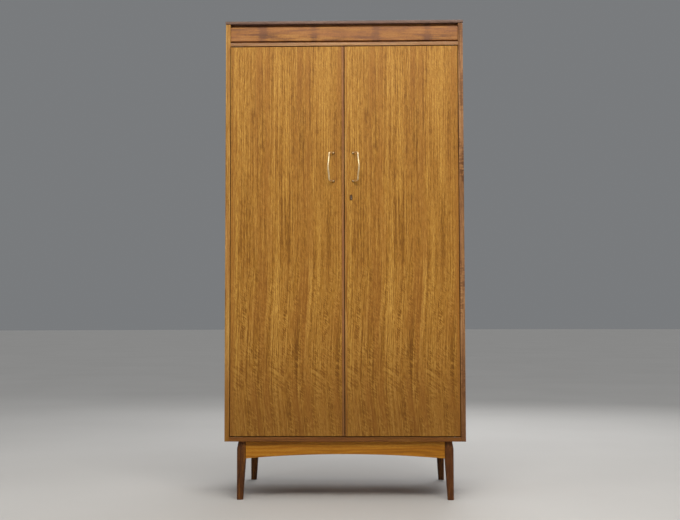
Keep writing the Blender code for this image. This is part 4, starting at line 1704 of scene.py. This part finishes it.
@dataclass
class Doors:
    """Two veneered leaves with their meeting strips, handles and hinges."""

    bench: Bench
    ease: float = 0.0007
    rod_radius: float = 0.0030
    neck_radius: float = 0.0026
    foot_radius: float = 0.0042
    foot_length: float = 0.0065
    # Share of each foot's length that is painted dark as shade.
    painted_shade_share: float = 0.75
    corner_radius: float = 0.008
    bulge: float = 0.17
    corner_steps: int = 8
    grip_steps: int = 28
    screw_head_radius: float = 0.0038
    screw_head_height: float = 0.0022
    screw_radius: float = 0.0016
    hinge_screw_radius: float = 0.0024
    hinge_screw_height: float = 0.0004
    hinge_screw_offset: float = 0.0145
    shortest_corner: float = 0.0018
    longest_corner: float = 0.003
    corner_ease: float = 0.0012

    def build(self) -> None:
        """Make both leaves and all that they carry."""
        for name, side in SIDES.items():
            self.build_leaf(name)
            self.build_handle(name, side)
            for level_name, level in LEVELS.items():
                self.build_screw(name, level_name)
                self.build_hinge(name, level_name, level)

    def build_leaf(self, name: str) -> None:
        """A veneered panel and the solid strip down its meeting edge.

        Args:
            name: left or right.
        """
        front, back = facing(1, -1, EDGE_SHARE), facing(1, 1, EDGE_SHARE)
        self.bench.finish_board(
            f"{name}_door",
            self.ease,
            "door_veneer",
            LEFT_DOOR_VENEER if name == "left" else RIGHT_DOOR_VENEER,
            INSIDE_VENEER,
            MEETING_LIPPING,
            choose=lambda face: 0 if front(face) else 1 if back(face) else 2,
        )
        self.bench.finish_board(
            f"{name}_meeting_lipping",
            self.ease,
            "solid_wood",
            MEETING_LIPPING if name == "left" else RIGHT_MEETING_LIPPING,
        )

    def grip_path(
        self, foot: Vector, lean: float, reach: float, half: float
    ) -> tuple[list[Vector], list[float]]:
        """The middle line of a bow handle, from its lower foot to its upper one.

        Args:
            foot: The point between the feet, on the door's face.
            lean: How far the grip leans sideways, with its sign.
            reach: How far it stands out.
            half: Half the distance between the feet.

        Returns:
            Points along the line, and the rod's radius at each.
        """
        full = math.hypot(lean, reach)
        out = Vector((lean, -reach, 0)) / full
        shoulder = full * (1 - self.bulge)
        corner = self.corner_radius
        straight = half - corner
        lower = [(self.foot_length * 0.5, -half)]
        for step in range(self.corner_steps + 1):
            turn = math.radians(90 * step / self.corner_steps)
            away = shoulder - corner + corner * math.sin(turn)
            lower.append((away, -straight - corner * math.cos(turn)))
        grip = []
        for step in range(1, self.grip_steps):
            height = straight * (2 * step / self.grip_steps - 1)
            swell = math.cos(math.pi / 2 * height / straight) ** 2
            grip.append((shoulder + (full - shoulder) * swell, height))
        line = lower + grip + [(distance, -height) for distance, height in reversed(lower)]
        points = [foot + out * distance + UP * height for distance, height in line]
        thick = self.rod_radius - self.neck_radius
        radii = []
        for _, height in line:
            fullness = max(0.0, math.cos(math.pi / 2 * height / half)) ** 0.5
            radii.append(self.neck_radius + thick * fullness)
        return points, radii

    def build_handle(self, name: str, side: int) -> None:
        """A bow handle of drawn brass on two round feet, whose outer parts carry painted shade.

        Args:
            name: left or right.
            side: -1 or 1.
        """
        low, high = self.bench.box(f"{name}_handle")
        near, far = (high.x, low.x) if side < 0 else (low.x, high.x)
        foot_x = near + side * self.foot_radius
        foot = Vector((foot_x, high.y, (low.z + high.z) / 2))
        lean = far - side * self.rod_radius - foot_x
        reach = high.y - low.y - self.rod_radius
        half = (high.z - low.z) / 2 - self.foot_radius
        points, radii = self.grip_path(foot, lean, reach, half)
        shapes = [swept(points, radii)]
        profile = scaled(FOOT_PROFILE, self.foot_radius, self.foot_length)
        for level in (-1, 1):
            shapes.append(aimed(turned(profile), foot + UP * level * half, FORWARD))
        # Painted shade: the feet's faces past this point take the dark brass finish.
        painted_shade_end = high.y - self.foot_length * self.painted_shade_share
        self.bench.finish(
            f"{name}_handle",
            joined(*shapes),
            "brass",
            BRASS,
            DARK_BRASS_AND_PAINTED_SHADE,
            choose=lambda face: 1 if face.calc_center_median().y > painted_shade_end else 0,
        )

    def build_screw(self, name: str, level_name: str) -> None:
        """A handle screw, put in from the inside of the door.

        Args:
            name: left or right.
            level_name: upper or lower.
        """
        node = f"{name}_handle_{level_name}_screw"
        low, high = self.bench.box(node)
        middle = (low + high) / 2
        rise = self.screw_head_height
        length = high.y - low.y - rise
        screw = slotted_screw(self.screw_head_radius, rise, self.screw_radius, length)
        aimed(screw, Vector((middle.x, high.y - rise, middle.z)), BACKWARD)
        self.bench.finish(node, screw, "steel", STEEL)

    def build_hinge(self, name: str, level_name: str, level: int) -> None:
        """The screwed plates of a pivot hinge: the pin's on the cabinet, the bush's on the door.

        Args:
            name: left or right.
            level_name: upper or lower.
            level: 1 for the upper hinge, -1 for the lower.
        """
        shelf_low, shelf_high = self.bench.box("head_panel" if level > 0 else "bottom_board")
        door_low, door_high = self.bench.box(f"{name}_door")
        for kind, plane, direction in (
            ("pin", shelf_low.z if level > 0 else shelf_high.z, -level),
            ("bush", door_high.z if level > 0 else door_low.z, level),
        ):
            node = f"{name}_{level_name}_hinge_{kind}_plate"
            bm = self.bench.copy(node)
            corners = [
                edge
                for edge in sharp_edges(bm)
                if edge.calc_length() < self.longest_corner
                and extent(edge, 2) > self.shortest_corner
            ]
            eased(bm, corners, self.corner_ease, segments=3)
            low, high = self.bench.box(node)
            low.z = high.z = plane
            heads = screw_heads(
                low,
                high,
                UP * direction,
                (self.hinge_screw_offset, 0, 0),
                self.hinge_screw_radius,
                self.hinge_screw_height,
            )
            self.bench.finish(node, joined(bm, *heads), "steel", STEEL)


# ---------------------------------------------------------------- lock and bolts


@dataclass
class Furniture:
    """The lock with its escutcheon, tongue and strike, and the two shoot bolts."""

    bench: Bench
    plate_ease: float = 0.0004
    case_screws: tuple[float, float, float] = (0.016, 0.0, 0.025)
    strike_screws: tuple[float, float, float] = (0.0, 0.0, 0.0125)
    bolt_plate_screws: tuple[float, float, float] = (0.0075, 0.0, 0.018)
    bolt_plate_depth: float = 0.002
    screw_radius: float = 0.0019
    screw_height: float = 0.0005
    rim_ease: float = 0.0005
    longest_rim_edge: float = 0.02
    pin_offset: float = 0.0088
    pin_radius: float = 0.0011
    pin_height: float = 0.0004
    keyhole_radius: float = 0.0026
    slot_half: float = 0.0014
    slot_length: float = 0.0085
    slot_start: float = 0.9
    slot_spread: float = 2.0
    outline_steps: int = 32
    knob_radius: float = 0.004
    knob_offset: float = 0.006
    rod_radius: float = 0.003
    rod_tip: float = 0.001
    bolt_sides: int = 24

    def build(self) -> None:
        """Make every piece of the lock and the bolts."""
        self.build_escutcheon()
        self.build_plate("lock_case", "steel", STEEL, BACKWARD, self.case_screws)
        self.build_plate("strike_plate", "brass", BRASS, RIGHTWARD, self.strike_screws)
        for name in LEVELS:
            self.build_plate(
                f"{name}_bolt_plate",
                "brass",
                BRASS,
                BACKWARD,
                self.bolt_plate_screws,
                self.bolt_plate_depth,
            )
        self.bench.finish_board("lock_bolt", self.plate_ease, "brass", BRASS)
        for name, level in LEVELS.items():
            self.build_bolt(f"{name}_bolt", level)

    def build_plate(
        self,
        node: str,
        slot: str,
        finish: Metal,
        direction: Vector,
        offsets: Sequence[float],
        depth: float | None = None,
    ) -> None:
        """A plate or case with the screws that hold it.

        Args:
            node: The CAD node's name.
            slot: Its material slot.
            finish: Its finish.
            direction: The way that the screwed face looks.
            offsets: How far the screws stand from its middle.
            depth: The plate's own thickness, front to back, if something stands on it.
        """
        low, high = self.bench.box(node)
        if depth:
            high.y = low.y + depth
        heads = screw_heads(low, high, direction, offsets, self.screw_radius, self.screw_height)
        shape = joined(self.bench.board(node, self.plate_ease), *heads)
        self.bench.finish(node, shape, slot, finish)

    def build_escutcheon(self) -> None:
        """A small plate with round ends and a keyhole through it."""
        low, high = self.bench.box("keyhole_escutcheon")
        middle = (low + high) / 2
        end_radius = (high.x - low.x) / 2
        straight = (high.z - low.z) / 2 - end_radius
        key_centre = middle.z + self.slot_length / 2
        slot_foot = key_centre - self.keyhole_radius - self.slot_length
        bm = bmesh.new()
        outer, inner = (
            bmesh.ops.create_circle(bm, radius=radius, segments=self.outline_steps)["verts"]
            for radius in (end_radius, self.keyhole_radius)
        )
        bmesh.ops.rotate(bm, cent=(0, 0, 0), matrix=UPRIGHT_TURN, verts=bm.verts)
        for vert in outer:
            if abs(vert.co.z) > MERGE_DISTANCE:
                vert.co.z += math.copysign(straight, vert.co.z)
            vert.co += middle
        neck = math.sqrt(self.keyhole_radius**2 - self.slot_half**2)
        for vert in inner:
            if vert.co.z < -neck * self.slot_start:
                spread = vert.co.x * self.slot_spread
                vert.co.x = max(-self.slot_half, min(self.slot_half, spread))
                vert.co.z = slot_foot - key_centre
            vert.co += Vector((middle.x, middle.y, key_centre))
        bmesh.ops.bridge_loops(bm, edges=bm.edges[:])
        for vert in bm.verts:
            vert.co.y = high.y
        grown = bmesh.ops.extrude_face_region(bm, geom=bm.faces[:])["geom"]
        moved = [item for item in grown if isinstance(item, bmesh.types.BMVert)]
        bmesh.ops.translate(bm, vec=(0, low.y - high.y, 0), verts=moved)
        bmesh.ops.recalc_face_normals(bm, faces=bm.faces)
        front = low.y + PLANE_TOLERANCE
        rim = [
            e
            for e in sharp_edges(bm)
            if all(vert.co.y < front for vert in e.verts)
            and e.calc_length() < self.longest_rim_edge
        ]
        eased(bm, rim, self.rim_ease)
        offsets = (0, 0, self.pin_offset)
        pins = screw_heads(low, high, FORWARD, offsets, self.pin_radius, self.pin_height)
        self.bench.finish("keyhole_escutcheon", joined(bm, *pins), "brass", DARK_BRASS_AND_PAINTED_SHADE)

    def build_bolt(self, node: str, level: int) -> None:
        """A shoot bolt: a rod with a turned knob.

        Args:
            node: The CAD node's name.
            level: 1 for the upper bolt, -1 for the lower.
        """
        low, high = self.bench.box(node)
        middle_x = (low.x + high.x) / 2
        rod_y = low.y + self.rod_radius
        length = high.z - low.z
        radius, tip = self.rod_radius, self.rod_tip
        profile = (
            (0, 0),
            (radius - tip, 0),
            (radius, tip),
            (radius, length - tip),
            (radius - tip, length),
            (0, length),
        )
        rod = aimed(turned(profile, self.bolt_sides), Vector((middle_x, rod_y, low.z)), UP)
        knob = turned(scaled(KNOB_PROFILE, self.knob_radius, high.y - rod_y), self.bolt_sides)
        knob_level = (low.z + high.z) / 2 - level * self.knob_offset
        aimed(knob, Vector((middle_x, rod_y, knob_level)), BACKWARD)
        self.bench.finish(node, joined(rod, knob), "brass", BRASS)


# ---------------------------------------------------------------- studio


@dataclass(frozen=True)
class SoftLight:
    """A large square light that points at the wardrobe."""

    name: str
    place: tuple[float, float, float]
    target: tuple[float, float, float]
    width: float
    height: float
    power: float
    colour: Colour = (1.0, 1.0, 1.0)

    def build(self) -> None:
        """Add the light to the scene."""
        lamp = bpy.data.lights.new(self.name, "AREA")
        lamp.shape = "RECTANGLE"
        lamp.size = self.width
        lamp.size_y = self.height
        lamp.energy = self.power
        lamp.color = self.colour
        holder = bpy.data.objects.new(self.name, lamp)
        holder.location = self.place
        aim = Vector(self.target) - Vector(self.place)
        holder.rotation_euler = aim.to_track_quat("-Z", "Y").to_euler()
        bpy.context.scene.collection.objects.link(holder)


@dataclass
class Studio:
    """Camera, floor, lights and surrounding glow."""

    lens: float = 57.515
    sight: float = 200.0
    camera_place: tuple[float, float, float] = (0.0784, -4.4140, 0.6779)
    pitch: float = 3.195
    yaw: float = 1.3227
    roll: float = -0.117
    floor_radius: float = 80.0
    floor_sides: int = 96
    glow: Colour = (0.80, 0.83, 0.86)
    glow_strength: float = 0.24
    overhead_strength: float = 1.0
    overhead_spread: float = 70.0
    overhead_tilt: float = 12.0
    lights: tuple[SoftLight, ...] = (
        SoftLight(
            "key_light", (0.3, -2.7, 3.3), (0.0, -0.25, 1.60), 2.6, 1.4, 100.0, (1.0, 0.95, 0.87)
        ),
        SoftLight(
            "left_strip", (-2.6, -2.9, 1.9), (0.0, -0.2, 1.3), 0.7, 1.8, 16.0, (1.0, 0.97, 0.92)
        ),
        SoftLight(
            "right_strip", (2.8, -3.1, 1.9), (0.0, -0.2, 1.3), 0.7, 1.8, 15.0, (1.0, 0.97, 0.92)
        ),
        SoftLight("back_light", (0.8, 3.2, 2.8), (0.0, 0.3, 0.9), 2.6, 1.8, 70.0),
    )

    def build(self) -> None:
        """Set up everything round the wardrobe."""
        self.build_camera()
        self.build_floor()
        self.build_glow()
        self.build_overhead()
        for light in self.lights:
            light.build()
        bpy.context.scene.view_settings.view_transform = "Standard"

    def build_camera(self) -> None:
        """A level-standing camera at low height, turned a little to the left and up."""
        lens = bpy.data.cameras.new("camera")
        lens.lens = self.lens
        lens.clip_end = self.sight
        camera = bpy.data.objects.new("camera", lens)
        camera.location = self.camera_place
        aim = Euler((math.radians(90 + self.pitch), 0, math.radians(self.yaw))).to_matrix()
        roll = Matrix.Rotation(math.radians(self.roll), 3, "Z")
        camera.rotation_euler = (aim @ roll).to_euler()
        bpy.context.scene.collection.objects.link(camera)
        bpy.context.scene.camera = camera

    def build_floor(self) -> None:
        """A wide round floor under the legs."""
        bm = bmesh.new()
        bmesh.ops.create_circle(
            bm, cap_ends=True, radius=self.floor_radius, segments=self.floor_sides
        )
        mesh = bpy.data.meshes.new("floor")
        bm.to_mesh(mesh)
        bm.free()
        mesh.materials.append(Floor().paint())
        floor = bpy.data.objects.new("floor", mesh)
        bpy.context.scene.collection.objects.link(floor)

    def build_overhead(self) -> None:
        """A very soft light from above that keeps the floor evenly pale."""
        lamp = bpy.data.lights.new("overhead", "SUN")
        lamp.energy = self.overhead_strength
        lamp.angle = math.radians(self.overhead_spread)
        holder = bpy.data.objects.new("overhead", lamp)
        holder.rotation_euler = (math.radians(self.overhead_tilt), 0, 0)
        bpy.context.scene.collection.objects.link(holder)

    def build_glow(self) -> None:
        """An even pale surrounding."""
        world = bpy.data.worlds.new("studio")
        world.use_nodes = True
        background = world.node_tree.nodes["Background"]
        background.inputs["Color"].default_value = (*self.glow, 1.0)
        background.inputs["Strength"].default_value = self.glow_strength
        bpy.context.scene.world = world


# ---------------------------------------------------------------- the wardrobe


def main() -> None:
    """Load the frame, build each sub-assembly in order and set up the studio."""
    logging.basicConfig(level=logging.INFO, format="%(name)s %(message)s")
    bench = Bench(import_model())
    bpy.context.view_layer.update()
    for assembly in (Carcass(bench), Interior(bench), Stand(bench), Doors(bench), Furniture(bench)):
        assembly.build()
        LOG.info("%s is built", type(assembly).__name__)
    Studio().build()
    LOG.info("%d pieces in all", bench.count)


if __name__ == "__main__":
    main()
